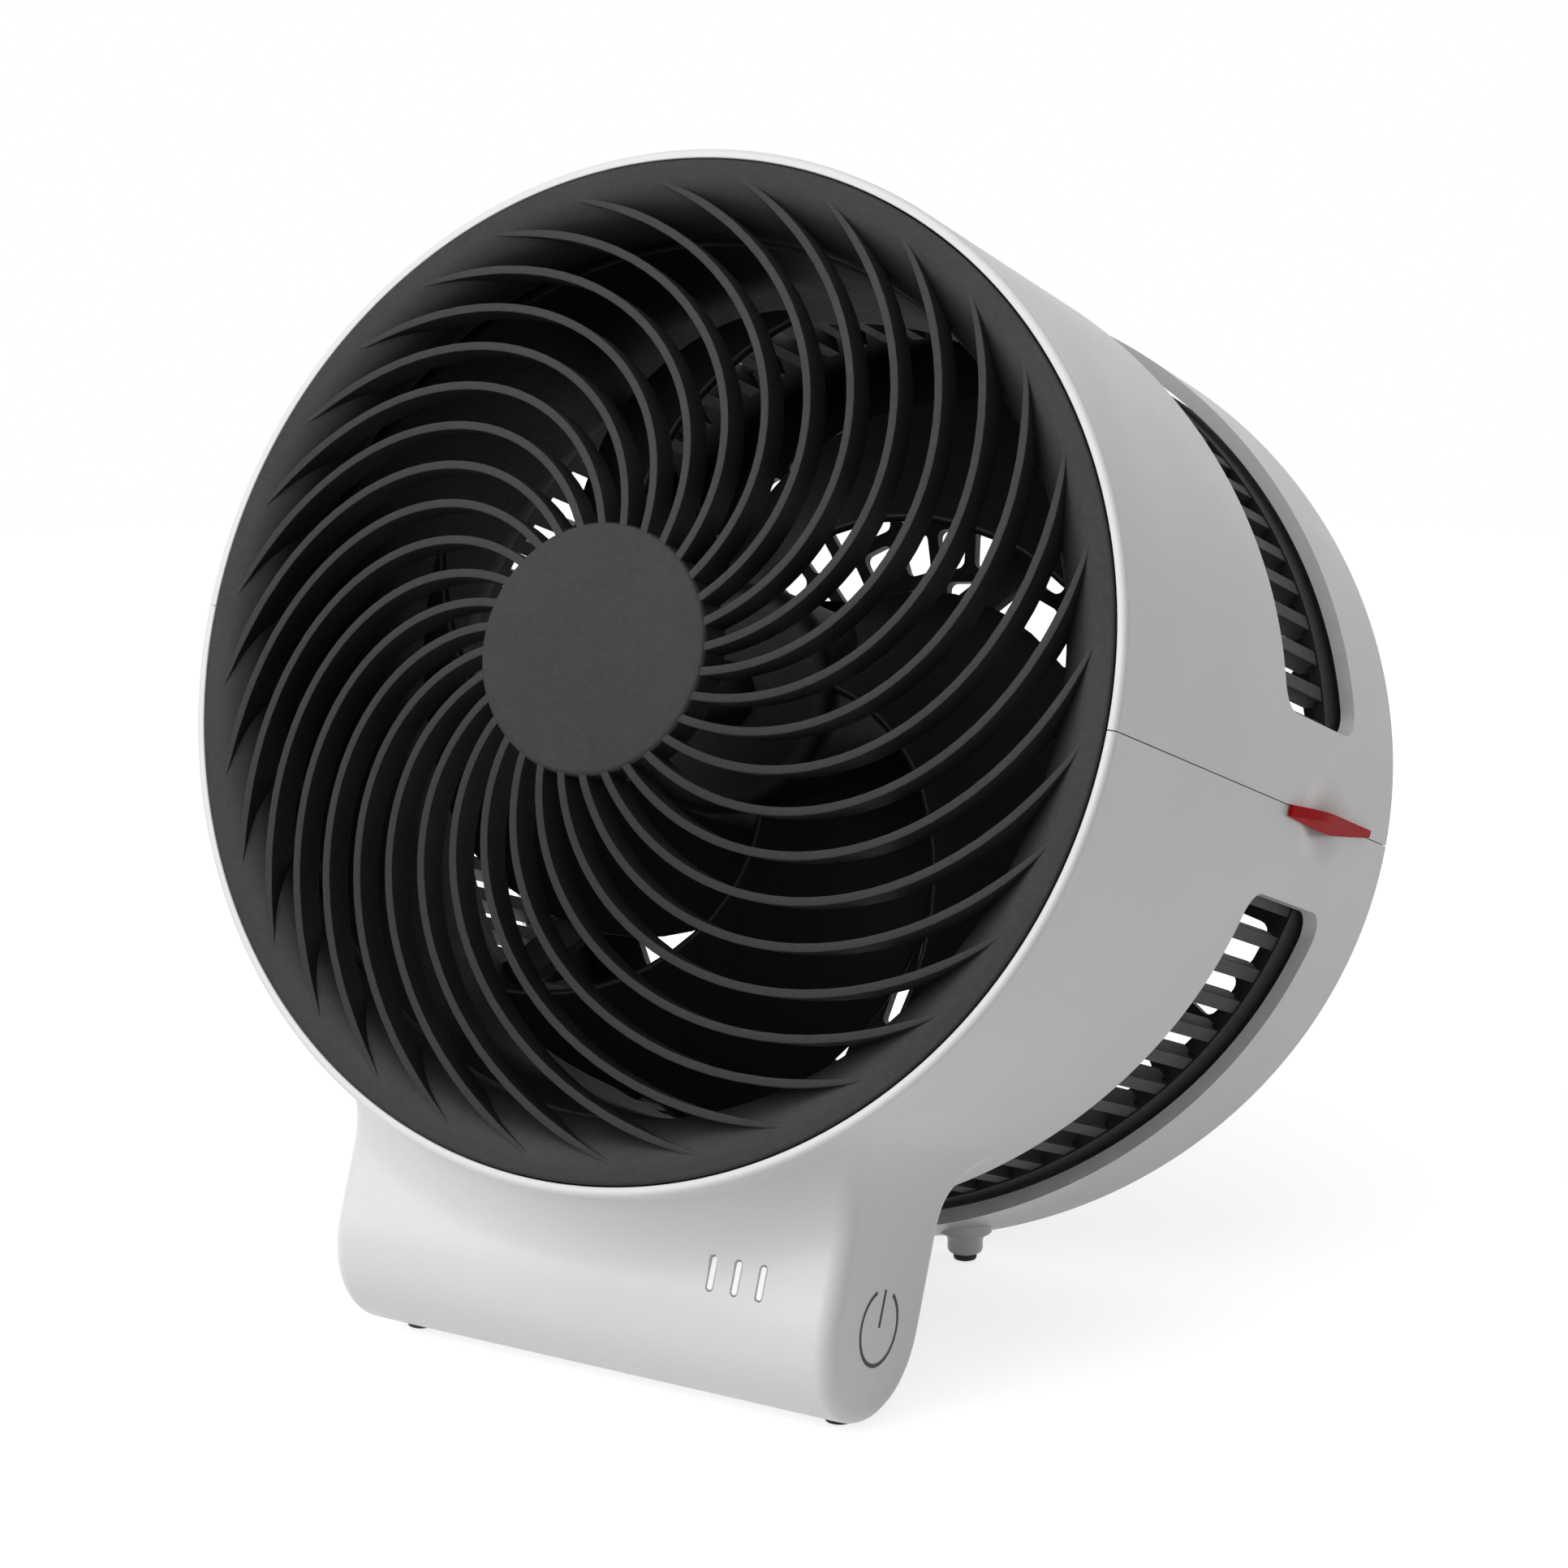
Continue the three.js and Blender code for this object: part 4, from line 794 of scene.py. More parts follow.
def back_plate():
    plate = keep_inside(tube("plate", 0, GUARD_R, 120, 200), arc_slab("depth", *GUARD_PLATE))
    for inner, outer, count in BACK_ROWS:
        cut(plate, row_of_slots(inner, outer, count))
    return plate


def on_circle(radius, angle):
    return radius * cos(angle), radius * sin(angle)


GUARD_SCREWS = [on_circle(SCREW_CIRCLE_R, (number + 0.5) * QUARTER_TURN) for number in range(4)]
MOTOR_SCREWS = [
    on_circle(MOTOR_SCREW_CIRCLE_R, number * FULL_TURN / 3 + QUARTER_TURN) for number in range(3)]


def screw_holes(piece, places):
    for x, y in places:
        cut(piece, pin("hole", x, y, 1.5, 90, 110, 32))


def side_basket():
    """A front ring and a rear band, joined by bars wherever the intake slots show them."""
    band = tube("band", GUARD_R - BAND_WALL, GUARD_R, 120, 190)
    keep_inside(band, arc_slab("depth", *GUARD_BAND))
    ring = tube("ring", SCREW_CIRCLE_R - 3.5, GUARD_R, *GUARD_RING)
    screw_holes(ring, GUARD_SCREWS)
    outer = GUARD_R - 0.4
    bar = soften(drum_block("bar", (outer - BAR_DEEP, -BAR_HALF), (outer, BAR_HALF),
                            GUARD_RING[0] + 1, GUARD_BAND[0] + 6), 0.3)
    pitch = FULL_TURN / SIDE_PITCHES
    lowest = sin(asin(SLOT_END / GUARD_R) - pitch)
    bars = []
    for number in range(SIDE_PITCHES):
        angle = (number + 0.5) * pitch
        if abs(sin(angle)) > lowest:
            bars.append(placed(copy_of(bar, "bar copy"), Matrix.Rotation(angle, 4, "Z")))
    discard(bar)
    bars = keep_inside(joined("bars", bars), arc_slab("depth", -60, 150.5))
    return add(ring, band, bars)


guard = settle(smooth(soften(back_plate(), 0.4)), "back_guard", "housing", "rear_guard")
basket = settle(smooth(side_basket()), "side_basket", "housing", "side_guard")

# ---- Air duct, bracket and impeller ----


def air_duct():
    """The tube round the impeller, with a flared front, a round rear mouth and a screw flange."""
    mouth_deep, flange_thick, below_flange = 10, 2, 12
    mouth = [
        (DUCT_R + DUCT_FLARE * (1 - cos(a)), DUCT_REAR - mouth_deep * (1 - sin(a)))
        for a in steps(8, 0, QUARTER_TURN)
    ]
    outside = DUCT_R + DUCT_WALL
    front_r = drum_radius(DUCT_FRONT) - WALL - 1.9
    return turned("duct", [
        (outside, DUCT_FRONT), (DUCT_R, DUCT_NECK), *mouth, (DUCT_FLANGE_R, DUCT_REAR),
        (DUCT_FLANGE_R, DUCT_REAR - flange_thick), (DUCT_R + DUCT_FLARE, DUCT_REAR - flange_thick),
        (outside, DUCT_REAR - below_flange), (outside, DUCT_NECK),
        (outside + DUCT_WALL, DUCT_FRONT + DUCT_WALL), (front_r, DUCT_FRONT + DUCT_WALL),
        (front_r, DUCT_FRONT)], 192)


def motor_bracket():
    """A ring on the duct's flange and a plate for the motor, joined by four ribbed arms."""
    inside = DUCT_R + DUCT_FLARE
    front, rear = BRACKET
    ring = tube("bracket ring", inside, DUCT_FLANGE_R, front, rear, 192)
    hub = tube("bracket hub", 8.2, 34, front, rear, 96)
    arm = add(drum_block("arm", (28, -4.5), (inside + 3, 4.5), front, rear),
              drum_block("arm rib", (28, -1.6), (inside - 4, 1.6), rear - 1, rear + 8))
    placed(soften(arm, 0.5), Matrix.Rotation(pi / 4, 4, "Z"))
    bracket = add(ring, hub, turned_copies(arm, 4))
    screw_holes(bracket, MOTOR_SCREWS)
    return bracket


def fan_blades():
    """Blades pulled outwards from the hub row by row, swept back and slimmer in angle outwards."""
    rows = steps(14, BLADE_ROOT_R, BLADE_TIP_R)
    span = BLADE_TIP_R - BLADE_ROOT_R
    slim = BLADE_SLIM ** (1 / (len(rows) - 1))
    root = []
    for c in steps(14, -1, 1):
        back = BLADE_MIDDLE + BLADE_RISE * c + BLADE_CAMBER * (1 - c * c)
        root.append((*on_circle(BLADE_ROOT_R, FAN_PHASE + c * BLADE_HALF), -back))
    blade = line_drawing("blade", root, closed=False)
    edit(blade)
    for here, there in zip(rows, rows[1:]):
        grow = there / here
        rise_here, rise_there = [
            BLADE_RISE - BLADE_FLATTER * (radius - BLADE_ROOT_R) / span for radius in (here, there)]
        extrude((0, 0, 0))
        bpy.ops.transform.resize(
            value=(grow, grow, rise_there / rise_here), center_override=(0, 0, -BLADE_MIDDLE))
        rotate(BLADE_SWEEP * (there - here) / span, (0, 0, 0))
        turned_to = FAN_PHASE - BLADE_SWEEP * (there - BLADE_ROOT_R) / span
        bpy.ops.transform.resize(
            value=(slim, slim, 1), center_override=(*on_circle(there, turned_to), -BLADE_MIDDLE))
    leave_edit()
    skin = blade.modifiers.new("thickness", "SOLIDIFY")
    skin.thickness, skin.offset = BLADE_THICK, 0
    apply_modifier(blade, skin)
    return turned_copies(soften(clean(blade), 0.8, 3, 50), BLADES)


def impeller_hub():
    return turned("impeller hub", [
        (3.3, 44), (24, 44), (27, 44.7), (29.2, 46.8), (30, 50), (30, 86), (28, 86), (28, 49.6),
        (3.3, 49.6)], 128)


duct = settle(smooth(soften(air_duct(), 0.3)), "duct", "housing", "air_duct")
bracket = settle(smooth(motor_bracket()), "motor_arms", "housing", "motor_bracket")
fan = joined("fan wheel", [impeller_hub(), fan_blades()])
settle(smooth(fan, 40), "fan_wheel", "rotor", "impeller")
nut = turned("nut", [
    (0, 37), (2.5, 37.2), (4.6, 38.2), (6.6, 40), (8.4, 42.4), (9, 43.6), (0, 43.6)], 64)
settle(smooth(nut), "spinner", "rotor", "spinner_nut")

# ---- Latch tabs ----


def latch_tab():
    """The wedge-shaped grip, its stations bridged from front to rear, on its stem and slider.

    A station gives its back, how proud the outer face stands at its top and bottom edges, and the
    heights of that face's top, that face's bottom and the foot of the slope under it.
    """
    stations = (
        (111.2, 1.0, 0.9, 0.1, -2.7, -2.8), (120.0, 2.5, 2.2, 0.75, -2.0, -3.1),
        (127.0, 3.6, 3.3, 1.15, -1.35, -3.35), (131.0, 3.7, 3.4, 1.3, -1.15, -3.45),
        (142.0, 2.9, 2.6, 1.5, -0.75, -3.3), (155.0, 1.8, 1.6, 1.75, -0.3, -1.75),
        (167.8, 0.9, 0.8, 2.0, 0.1, -0.05),
    )
    rings = []
    for back, proud_top, proud_low, top, low, foot in stations:
        skin = drum_radius(back) + 0.3
        corners = [
            (skin, top + 0.1), (skin + proud_top, top), (skin + proud_low, low), (skin, foot)]
        rings.append(line_drawing("grip ring", [(x, y, -back) for x, y in corners]))
    grip = joined("grip", rings)
    for ring in range(len(stations) - 1):
        pick_edges(grip, lambda here, there: (
            here.index // 4 == there.index // 4 and here.index // 4 in (ring, ring + 1)))
        bpy.ops.mesh.bridge_edge_loops()
        leave_edit()
    edit(grip, "EDGE")
    bpy.ops.mesh.select_all(action="DESELECT")
    bpy.ops.mesh.select_non_manifold(extend=False)
    bpy.ops.mesh.fill_holes(sides=4)
    leave_edit()
    clean(grip)
    slider_r = drum_radius(162.1) - WALL - 0.4
    add(grip, drum_block("stem", (121.2, -STEM_HALF), (128, STEM_HALF), *STEM),
        drum_block("slider", (121.05, -SLIDER_HALF), (slider_r, SLIDER_HALF), *SLIDER))
    return soften(grip, 0.25, 2, 40)


latch_right = smooth(latch_tab(), 40)
latch_left = smooth(flipped(copy_of(latch_right, "left tab"), 0), 40)
settle(latch_right, "release_tab_right", "latch_right", "latch_tab_right")
settle(latch_left, "release_tab_left", "latch_left", "latch_tab_left")

# ---- Small parts ----


def pan_screw():
    """A pan-head screw with a cross recess, its head's seat at back 0 and its shank forwards."""
    screw = turned("screw", [
        (0, 1.4), (1.2, 1.36), (2.1, 1.1), (2.6, 0.6), (2.8, 0), (1.1, 0), (1.1, -6.4), (0.5, -7),
        (0, -7)], 48)
    cross = add(block("slot", (-1.5, -0.3, -3), (1.5, 0.3, -0.6)),
                block("slot", (-0.3, -1.5, -3), (0.3, 1.5, -0.6)))
    return smooth(cut(screw, cross))


screw_places = {}
for side, name in ((-1, "left"), (1, "right")):
    screw_places["cover_screw_" + name] = (side * COVER_SCREW[0], COVER_SCREW[1], COVER_SCREW_SEAT)
for kind, places, seat in (("guard", GUARD_SCREWS, GUARD_RING), ("motor", MOTOR_SCREWS, BRACKET)):
    for number, place in enumerate(places, 1):
        screw_places[f"{kind}_screw_{number}"] = (*place, seat[1] + SCREW_PROUD)

first_screw = pan_screw()
screws = []
for name, (x, y, back) in screw_places.items():
    place = Matrix.Translation((x, y, -back)) @ Matrix.Rotation(x + y, 4, "Z")
    screw = placed(copy_of(first_screw, "screw"), place)
    screws.append(settle(screw, "pan_" + name, "housing", name))
discard(first_screw)

inlet = turned("inlet", [
    (0, 63), (5.5, 63), (5.5, 74.5), (5.2, 74.8), (3.5, 74.8), (3.2, 74.5), (3.2, 65), (0.9, 65),
    (0.9, 72.4), (0.5, 73), (0, 73)], 64)
placed(inlet, Matrix.Translation((0, INLET_Y, 0)))
settle(smooth(inlet), "inlet_socket", "housing", "power_inlet")


def touch_mark():
    """The power sign on the leg's right side: a broken ring and a bar, thin and nearly flush."""
    proud, sunk = 0.04, 0.3
    mark = tube("mark", 8.7, 9.75, -proud, sunk, 96)
    cut(mark, along("gap", [(0, 0), (-7, 14), (7, 14)], -2, 2))
    add(mark, block("mark bar", (-0.52, 0, -sunk), (0.52, 9.3, proud)))
    on_side = Matrix.Translation((LEG_HALF, LEG_CENTRE, -LEG_MIDDLE))
    return clean(placed(mark, on_side @ Matrix.Rotation(QUARTER_TURN, 4, "Y")))


mark = settle(touch_mark(), "touch_mark", "housing")

# ---- Effects that several finishes share ----


def feed(tree, socket, value):
    """Link a source to a socket, or set the socket's own value."""
    if isinstance(value, bpy.types.NodeSocket):
        tree.links.new(value, socket)
    else:
        socket.default_value = value


def node(tree, kind, **values):
    """A node, with its properties and what feeds its sockets given by name."""
    made = tree.nodes.new(kind)
    for label, value in values.items():
        if label in made.inputs:
            feed(tree, made.inputs[label], value)
        else:
            setattr(made, label, value)
    return made


def sums(tree, operation, first, second):
    made = node(tree, "ShaderNodeMath", operation=operation)
    feed(tree, made.inputs[0], first)
    feed(tree, made.inputs[1], second)
    return made.outputs[0]


def spread(tree, value, low, high, to_low=0, to_high=1):
    """Map a value from one range to another, clamped."""
    return node(tree, "ShaderNodeMapRange", Value=value, **{
        "From Min": low, "From Max": high, "To Min": to_low, "To Max": to_high}).outputs[0]


def object_place(tree):
    return node(tree, "ShaderNodeTexCoord").outputs["Object"]


def noise(tree, place, scale, detail, **values):
    return node(tree, "ShaderNodeTexNoise", Vector=place, Scale=scale, Detail=detail,
                **values).outputs["Fac"]


def effect(name, inputs, outputs):
    """A shader node group, with the sources it is given and the sockets for its results."""
    group = bpy.data.node_groups.new(name, "ShaderNodeTree")
    for way, labels in (("INPUT", inputs), ("OUTPUT", outputs)):
        for label in labels:
            group.interface.new_socket(label, in_out=way, socket_type="NodeSocketFloat")
    return group, node(group, "NodeGroupInput").outputs, node(group, "NodeGroupOutput").inputs


def moulded_surface():
    """The spark-eroded skin of a moulded part, with slow drifts from the melt's flow."""
    group, given, results = effect(
        "moulded surface", ["Grain", "Drift"], ["Height", "Tone", "Flow"])
    place = object_place(group)
    pits = node(group, "ShaderNodeTexVoronoi", feature="SMOOTH_F1", Vector=place,
                Scale=given["Grain"], Smoothness=0.6).outputs["Distance"]
    fine = noise(group, place, sums(group, "MULTIPLY", given["Grain"], 0.55), 3.0, Roughness=0.55)
    slow = noise(group, place, given["Drift"], 2.0, Roughness=0.5, Distortion=0.6)
    feed(group, results["Height"], sums(
        group, "ADD", sums(group, "MULTIPLY", pits, 0.6), sums(group, "MULTIPLY", fine, 0.4)))
    feed(group, results["Tone"], spread(group, fine, 0.3, 0.7))
    feed(group, results["Flow"], spread(group, slow, 0.35, 0.65))
    return group


def settled_dust():
    """A thin veil of dust on what faces up, broken by wiping."""
    group, given, results = effect("settled dust", ["Amount"], ["Veil"])
    place = object_place(group)
    facing = node(group, "ShaderNodeSeparateXYZ",
                  Vector=node(group, "ShaderNodeNewGeometry").outputs["Normal"])
    specks = noise(group, place, 420.0, 4.0, Roughness=0.65)
    veil = sums(group, "MULTIPLY", spread(group, facing.outputs["Z"], 0.35, 1.0),
                spread(group, specks, 0.42, 0.68, 0.2))
    wiped = spread(group, noise(group, place, 22.0, 2.0), 0.35, 0.65, 0.3)
    veil = sums(group, "MULTIPLY", veil, wiped)
    feed(group, results["Veil"], sums(group, "MULTIPLY", veil, given["Amount"]))
    return group


def handling():
    """Where hands and cloths have polished or scuffed a surface."""
    group, given, results = effect("handling", ["Scale", "Amount"], ["Polish", "Scuff"])
    place = object_place(group)
    stretched = node(group, "ShaderNodeMapping", Vector=place, Scale=(1.0, 6.0, 30.0)).outputs[0]
    patches = noise(group, place, given["Scale"], 3.0, Roughness=0.6)
    lines = noise(group, stretched, sums(group, "MULTIPLY", given["Scale"], 2.0), 2.0)
    for label, source, low, high in (("Polish", patches, 0.45, 0.7), ("Scuff", lines, 0.62, 0.75)):
        mask = spread(group, source, low, high)
        feed(group, results[label], sums(group, "MULTIPLY", mask, given["Amount"]))
    return group


MOULDED, DUST, HANDLING = moulded_surface(), settled_dust(), handling()

# ---- Finishes ----

DUST_COLOUR = (0.46, 0.44, 0.41)


def place_effect(tree, group, **values):
    return node(tree, "ShaderNodeGroup", node_tree=group, **values).outputs


def blended(tree, share, first, second):
    """A colour between two others; each may be a colour or a source."""
    made = node(tree, "ShaderNodeMix", data_type="RGBA", Factor=share)
    pair = [socket for socket in made.inputs if socket.type == "RGBA"]
    for socket, value in zip(pair, (first, second)):
        feed(tree, socket, (*value, 1) if isinstance(value, tuple) else value)
    return [socket for socket in made.outputs if socket.type == "RGBA"][0]


def new_finish(name):
    material = bpy.data.materials.new(name)
    material.use_nodes = True
    return material, material.node_tree


def surfaced(material, colour, roughness, height, depth, **constants):
    """Wire a finish into its shader: colour, roughness, and relief of a depth in metres."""
    tree = material.node_tree
    bump = node(tree, "ShaderNodeBump", Height=height, Distance=depth, Strength=1.0)
    feeds = {"Base Color": colour, "Roughness": roughness, "Normal": bump.outputs["Normal"]}
    for label, value in {**feeds, **constants}.items():
        feed(tree, tree.nodes["Principled BSDF"].inputs[label.replace("_", " ")], value)
    return material


def head_waves(tree, scale, distortion, centre=(0, HEAD_SHIFT, AXIS_HEIGHT), **values):
    """Waves in the head's own directions, as rings round the axis or bands along it."""
    place = node(tree, "ShaderNodeMapping", vector_type="TEXTURE", Vector=object_place(tree),
                 Location=[c * MILLIMETRE for c in centre], Rotation=(QUARTER_TURN - TILT, 0, 0))
    return node(tree, "ShaderNodeTexWave", Vector=place.outputs[0], Scale=scale,
                Distortion=distortion, **values).outputs["Fac"]


def moulded_plastic(name, colour, shade, rough, grain, depth, dust=0.08, gleam=0.5, polish=0.12):
    """Moulded plastic: its colour drifts a little, its skin is fine and its gloss is uneven."""
    material, tree = new_finish(name)
    skin = place_effect(tree, MOULDED, Grain=grain, Drift=14.0)
    touch = place_effect(tree, HANDLING, Scale=30.0, Amount=0.6)
    veil = place_effect(tree, DUST, Amount=dust)["Veil"]
    tone = sums(tree, "ADD", sums(tree, "MULTIPLY", skin["Flow"], 0.6),
                sums(tree, "MULTIPLY", skin["Tone"], 0.4))
    body = blended(tree, veil, blended(tree, tone, colour, shade), DUST_COLOUR)
    gloss = spread(tree, skin["Tone"], 0, 1, rough - 0.04, rough + 0.04)
    gloss = sums(tree, "SUBTRACT", gloss, sums(tree, "MULTIPLY", touch["Polish"], polish))
    gloss = sums(tree, "ADD", gloss, sums(tree, "MULTIPLY", touch["Scuff"], 0.06))
    gloss = sums(tree, "ADD", gloss, veil)
    return surfaced(material, body, gloss, skin["Height"], depth, Specular_IOR_Level=gleam)


def turned_metal(name, colour, rough, lines=900, depth=0.00002, tint=0.8):
    """Metal turned or drawn round the fan's axis, with fine tool lines."""
    material, tree = new_finish(name)
    rings = head_waves(tree, lines, 1.5, wave_type="RINGS", rings_direction="Z", Detail=3.0)
    touch = place_effect(tree, HANDLING, Scale=60.0, Amount=0.5)
    gloss = spread(tree, rings, 0, 1, rough - 0.06, rough + 0.08)
    gloss = sums(tree, "ADD", gloss, sums(tree, "MULTIPLY", touch["Scuff"], 0.1))
    body = blended(tree, rings, colour, tuple(c * tint for c in colour))
    return surfaced(material, body, gloss, rings, depth, Metallic=1.0)


def wound_wire():
    """Enamelled copper wire, laid in turns, with painted shade in the grooves between them."""
    material, tree = new_finish("enamelled copper wire")
    turns = head_waves(tree, 420.0, 0.8, wave_type="RINGS", rings_direction="Z", Detail=1.0)
    skin = place_effect(tree, MOULDED, Grain=900.0, Drift=60.0)
    # The dark end of this blend is painted shade in the grooves between the turns.
    groove = blended(tree, turns, (0.10, 0.02, 0.005), (0.56, 0.19, 0.05))
    body = blended(tree, skin["Flow"], groove, (0.40, 0.11, 0.025))
    gloss = spread(tree, skin["Tone"], 0, 1, 0.25, 0.4)
    return surfaced(material, body, gloss, turns, 0.0003, Metallic=0.85)


def core_sheets():
    """A stack of thin steel sheets seen on edge, with dark glue lines."""
    material, tree = new_finish("stacked core sheets")
    sheets = head_waves(tree, 620.0, 0.3, centre=(0, 0, 0), bands_direction="Z")
    skin = place_effect(tree, MOULDED, Grain=1200.0, Drift=40.0)
    edge = blended(tree, sheets, (0.05, 0.048, 0.045), (0.27, 0.265, 0.26))
    body = blended(tree, skin["Flow"], edge, (0.16, 0.14, 0.12))
    gloss = spread(tree, skin["Tone"], 0, 1, 0.4, 0.6)
    return surfaced(material, body, gloss, sheets, 0.0001, Metallic=0.8)


def circuit_board():
    """Green solder mask over traces, with a scatter of tinned pads."""
    material, tree = new_finish("circuit board")
    place = object_place(tree)
    white, black = (1, 1, 1, 1), (0, 0, 0, 1)
    traces = node(tree, "ShaderNodeTexBrick", Vector=place, Scale=110.0, offset=0.35, Color1=white,
                  Color2=white, Mortar=black, **{"Mortar Size": 0.05}).outputs["Fac"]
    pads = node(tree, "ShaderNodeTexVoronoi", Vector=place, Scale=260.0).outputs["Distance"]
    skin = place_effect(tree, MOULDED, Grain=1500.0, Drift=50.0)
    mask = blended(tree, traces, (0.012, 0.11, 0.04), (0.03, 0.2, 0.075))
    tin = spread(tree, pads, 0.16, 0.2, 1, 0)
    body = blended(tree, tin, mask, (0.5, 0.5, 0.48))
    gloss = spread(tree, skin["Tone"], 0, 1, 0.3, 0.45)
    return surfaced(material, body, gloss, traces, 0.00005, Metallic=tin)


def light_guide():
    """Milky light guide: white, a little uneven, with a faint painted glow from emission that
    brightens it.
    """
    material, tree = new_finish("milky light guide")
    skin = place_effect(tree, MOULDED, Grain=1400.0, Drift=120.0)
    body = blended(tree, skin["Flow"], (0.93, 0.94, 0.95), (0.88, 0.89, 0.91))
    gloss = spread(tree, skin["Tone"], 0, 1, 0.22, 0.32)
    # The emission below is a painted glow, not light from a lamp.
    return surfaced(material, body, gloss, skin["Height"], 0.00001,
                    Emission_Color=(1, 1, 1, 1), Emission_Strength=0.12)


# Each plastic: its colour, the shade that it drifts to, roughness, grain and depth of the grain.
WHITE = moulded_plastic(
    "satin white shell", (0.80, 0.80, 0.79), (0.775, 0.776, 0.77), 0.38, 1500, 0.00002, dust=0.03)
CHARCOAL = moulded_plastic(
    "charcoal grille", (0.022, 0.022, 0.023), (0.018, 0.018, 0.019), 0.5, 1300, 0.00004,
    dust=0.015, gleam=0.22)
GUARD_BLACK = moulded_plastic(
    "black guard", (0.018, 0.018, 0.019), (0.014, 0.014, 0.015), 0.55, 1100, 0.00004,
    dust=0.04, gleam=0.25)
DUCT_BLACK = moulded_plastic(
    "black duct", (0.010, 0.010, 0.011), (0.007, 0.007, 0.008), 0.6, 900, 0.00004,
    dust=0.03, gleam=0.2)
BLADE_BLACK = moulded_plastic(
    "impeller black", (0.008, 0.008, 0.009), (0.006, 0.006, 0.007), 0.5, 1000, 0.00002,
    dust=0.02, gleam=0.2, polish=0.06)
RED = moulded_plastic(
    "red tab", (0.50, 0.004, 0.006), (0.44, 0.003, 0.005), 0.55, 1400, 0.00001,
    dust=0.0, gleam=0.06)
INK = moulded_plastic(
    "printed mark", (0.030, 0.030, 0.033), (0.022, 0.022, 0.025), 0.5, 2200, 0.000005,
    dust=0.0, gleam=0.25)
SOCKET_BLACK = moulded_plastic(
    "socket black", (0.014, 0.014, 0.015), (0.010, 0.010, 0.011), 0.4, 1200, 0.00003)
RUBBER = moulded_plastic(
    "foot rubber", (0.060, 0.060, 0.063), (0.050, 0.050, 0.052), 0.8, 700, 0.0001,
    dust=0.1, gleam=0.3)
MAGNET = moulded_plastic(
    "pressed magnet", (0.045, 0.045, 0.05), (0.03, 0.03, 0.033), 0.6, 600, 0.00008)
STEEL = turned_metal("turned steel", (0.56, 0.56, 0.57), 0.3)
ZINC = turned_metal("zinc-plated screw", (0.60, 0.61, 0.62), 0.32, lines=500, tint=0.85)
CAST = turned_metal("die-cast mount", (0.42, 0.43, 0.44), 0.45, lines=300, depth=0.00005)
COPPER, CORE, BOARD, GUIDE = wound_wire(), core_sheets(), circuit_board(), light_guide()

PIECE_FINISHES = (
    ([upper_shell, lower_shell, cover], WHITE, "white_plastic"),
    ([grille], CHARCOAL, "black_plastic"),
    ([guard, basket, bracket], GUARD_BLACK, "black_plastic"),
    ([duct], DUCT_BLACK, "black_plastic"),
    ([fan, nut], BLADE_BLACK, "dark_plastic"),
    ([latch_right, latch_left], RED, "red_plastic"),
    (light_bars, GUIDE, "light_plastic"),
    (pads, RUBBER, "rubber"),
    (screws, ZINC, "steel"),
    ([inlet], SOCKET_BLACK, "dark_plastic"),
    ([mark], INK, "dark_plastic"),
)
for pieces, material, slot in PIECE_FINISHES:
    for piece in pieces:
        piece.data.materials.clear()
        piece.data.materials.append(material)

NODE_FINISHES = {
    STEEL: ("rotor_cup", "motor_shaft", "shaft_clip", "front_bearing", "rear_bearing"),
    CAST: ("motor_mount",),
    MAGNET: ("magnet_ring",),
    CORE: ("stator_core",),
    COPPER: ("front_winding", "rear_winding"),
    BOARD: ("motor_board", "light_board", "control_board", "touch_board"),
}
for material, names in NODE_FINISHES.items():
    for name in names:
        for slot in nodes[name].material_slots:
            slot.material = material

# ---- Camera, floor and light ----

CAMERA_PLACE = (0.5495, -0.9563, 0.4314)
CAMERA_DOWN, CAMERA_ROUND = radians(15.2), radians(30)
SENSOR, LENS = 36, 102.08
FLOOR_R, FLOOR_FADE = 1.1, (0.45, 1.0)
FLOOR_GREY, FLOOR_LIFT = 0.68, 0.76
WORLD_LIGHT, WORLD_SEEN = 0.32, 1.0
LAMP_AIM = (0, -0.02, 0.14)

sight = bpy.data.cameras.new("photo view")
sight.sensor_width, sight.lens = SENSOR, LENS
camera = bpy.data.objects.new("photo view", sight)
camera.location = CAMERA_PLACE
camera.rotation_euler = (QUARTER_TURN - CAMERA_DOWN, 0, CAMERA_ROUND)
bpy.context.scene.collection.objects.link(camera)
bpy.context.scene.camera = camera


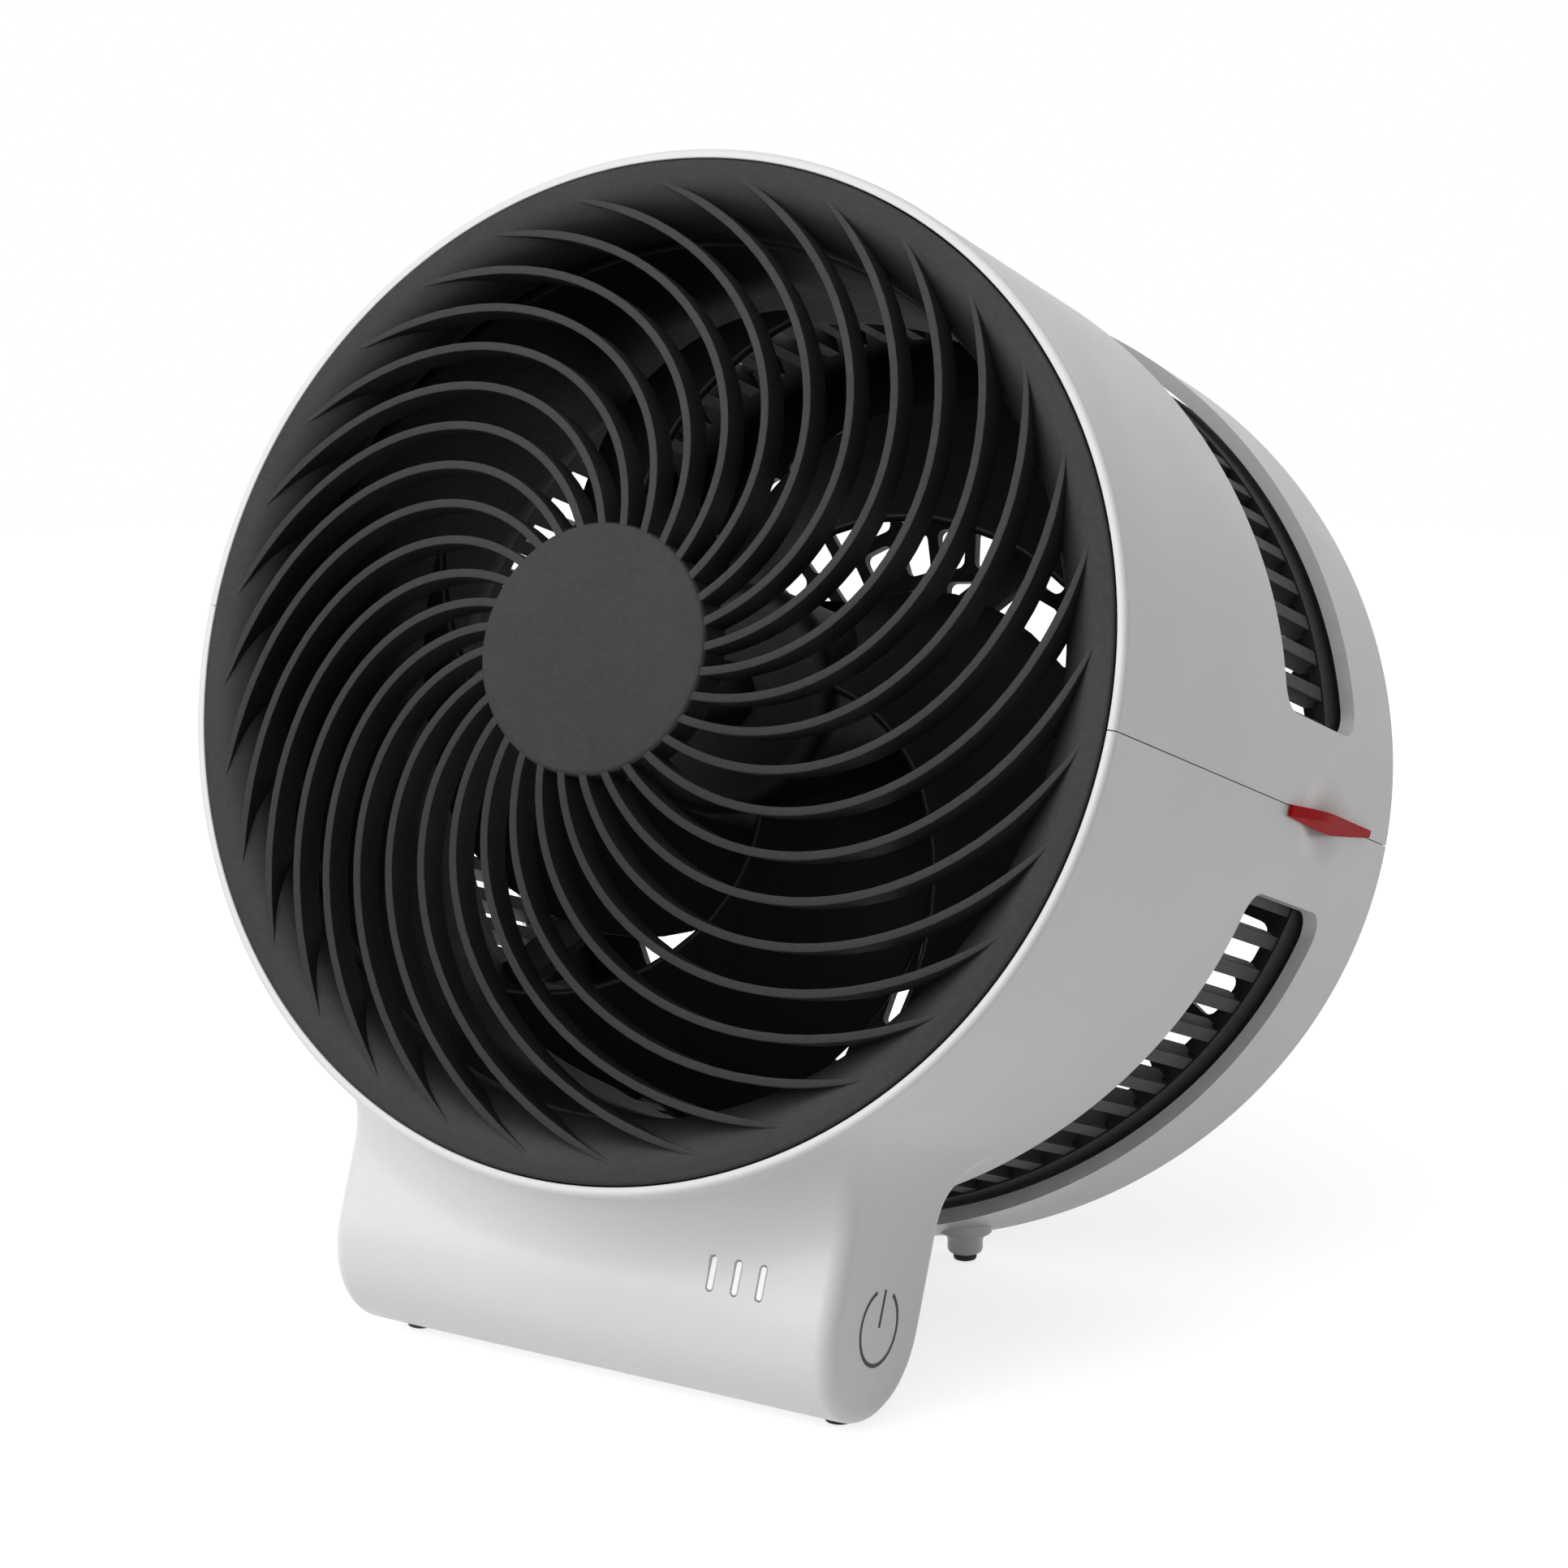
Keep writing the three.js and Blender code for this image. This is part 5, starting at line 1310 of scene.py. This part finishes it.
def seen_directly(tree):
    """1 for what the camera sees, also in a gloss or through glass, and 0 for scattered light."""
    path = node(tree, "ShaderNodeLightPath")
    rays = sums(tree, "MAXIMUM", path.outputs["Is Camera Ray"], path.outputs["Is Glossy Ray"])
    return sums(tree, "MAXIMUM", rays, path.outputs["Is Transmission Ray"])


def pale_floor():
    """A plain floor that keeps its shadows, is seen near white and fades out at its edge."""
    material, tree = new_finish("pale floor")
    tree.nodes.remove(tree.nodes["Principled BSDF"])
    paper = node(tree, "ShaderNodeBsdfDiffuse", Color=(FLOOR_GREY, FLOOR_GREY, FLOOR_GREY, 1))
    lift = node(tree, "ShaderNodeEmission",
                Strength=sums(tree, "MULTIPLY", seen_directly(tree), FLOOR_LIFT))
    away = node(tree, "ShaderNodeVectorMath", operation="LENGTH", Vector=object_place(tree))
    fade = node(tree, "ShaderNodeMixShader",
                Fac=spread(tree, away.outputs["Value"], *FLOOR_FADE))
    both, clear = node(tree, "ShaderNodeAddShader"), node(tree, "ShaderNodeBsdfTransparent")
    for source, target, place in (
        (paper, both, 0), (lift, both, 1), (both, fade, 1), (clear, fade, 2),
        (fade, tree.nodes["Material Output"], 0),
    ):
        feed(tree, target.inputs[place], source.outputs[0])
    return material


floor = primitive("floor", bpy.ops.mesh.primitive_circle_add, vertices=128, radius=FLOOR_R,
                  fill_type="NGON", location=(0, 0, 0))
floor.data.materials.append(pale_floor())

world = bpy.data.worlds.new("studio")
bpy.context.scene.world = world
world.use_nodes = True
around = world.node_tree.nodes["Background"]
around.inputs["Color"].default_value = (1, 1, 1, 1)
feed(world.node_tree, around.inputs["Strength"], spread(
    world.node_tree, seen_directly(world.node_tree), 0, 1, WORLD_LIGHT, WORLD_SEEN))


def soft_lamp(name, place, size, power):
    lamp = bpy.data.lights.new(name, "AREA")
    lamp.shape, lamp.size, lamp.energy = "DISK", size, power
    holder = bpy.data.objects.new(name, lamp)
    holder.location = place
    towards = Vector(LAMP_AIM) - Vector(place)
    holder.rotation_euler = towards.to_track_quat("-Z", "Y").to_euler()
    bpy.context.scene.collection.objects.link(holder)


soft_lamp("front left softbox", (-1.3, -1.9, 1.7), size=3.0, power=57)
soft_lamp("high softbox", (0.2, -0.3, 2.4), size=1.8, power=8)

bpy.context.scene.view_settings.view_transform = "Standard"
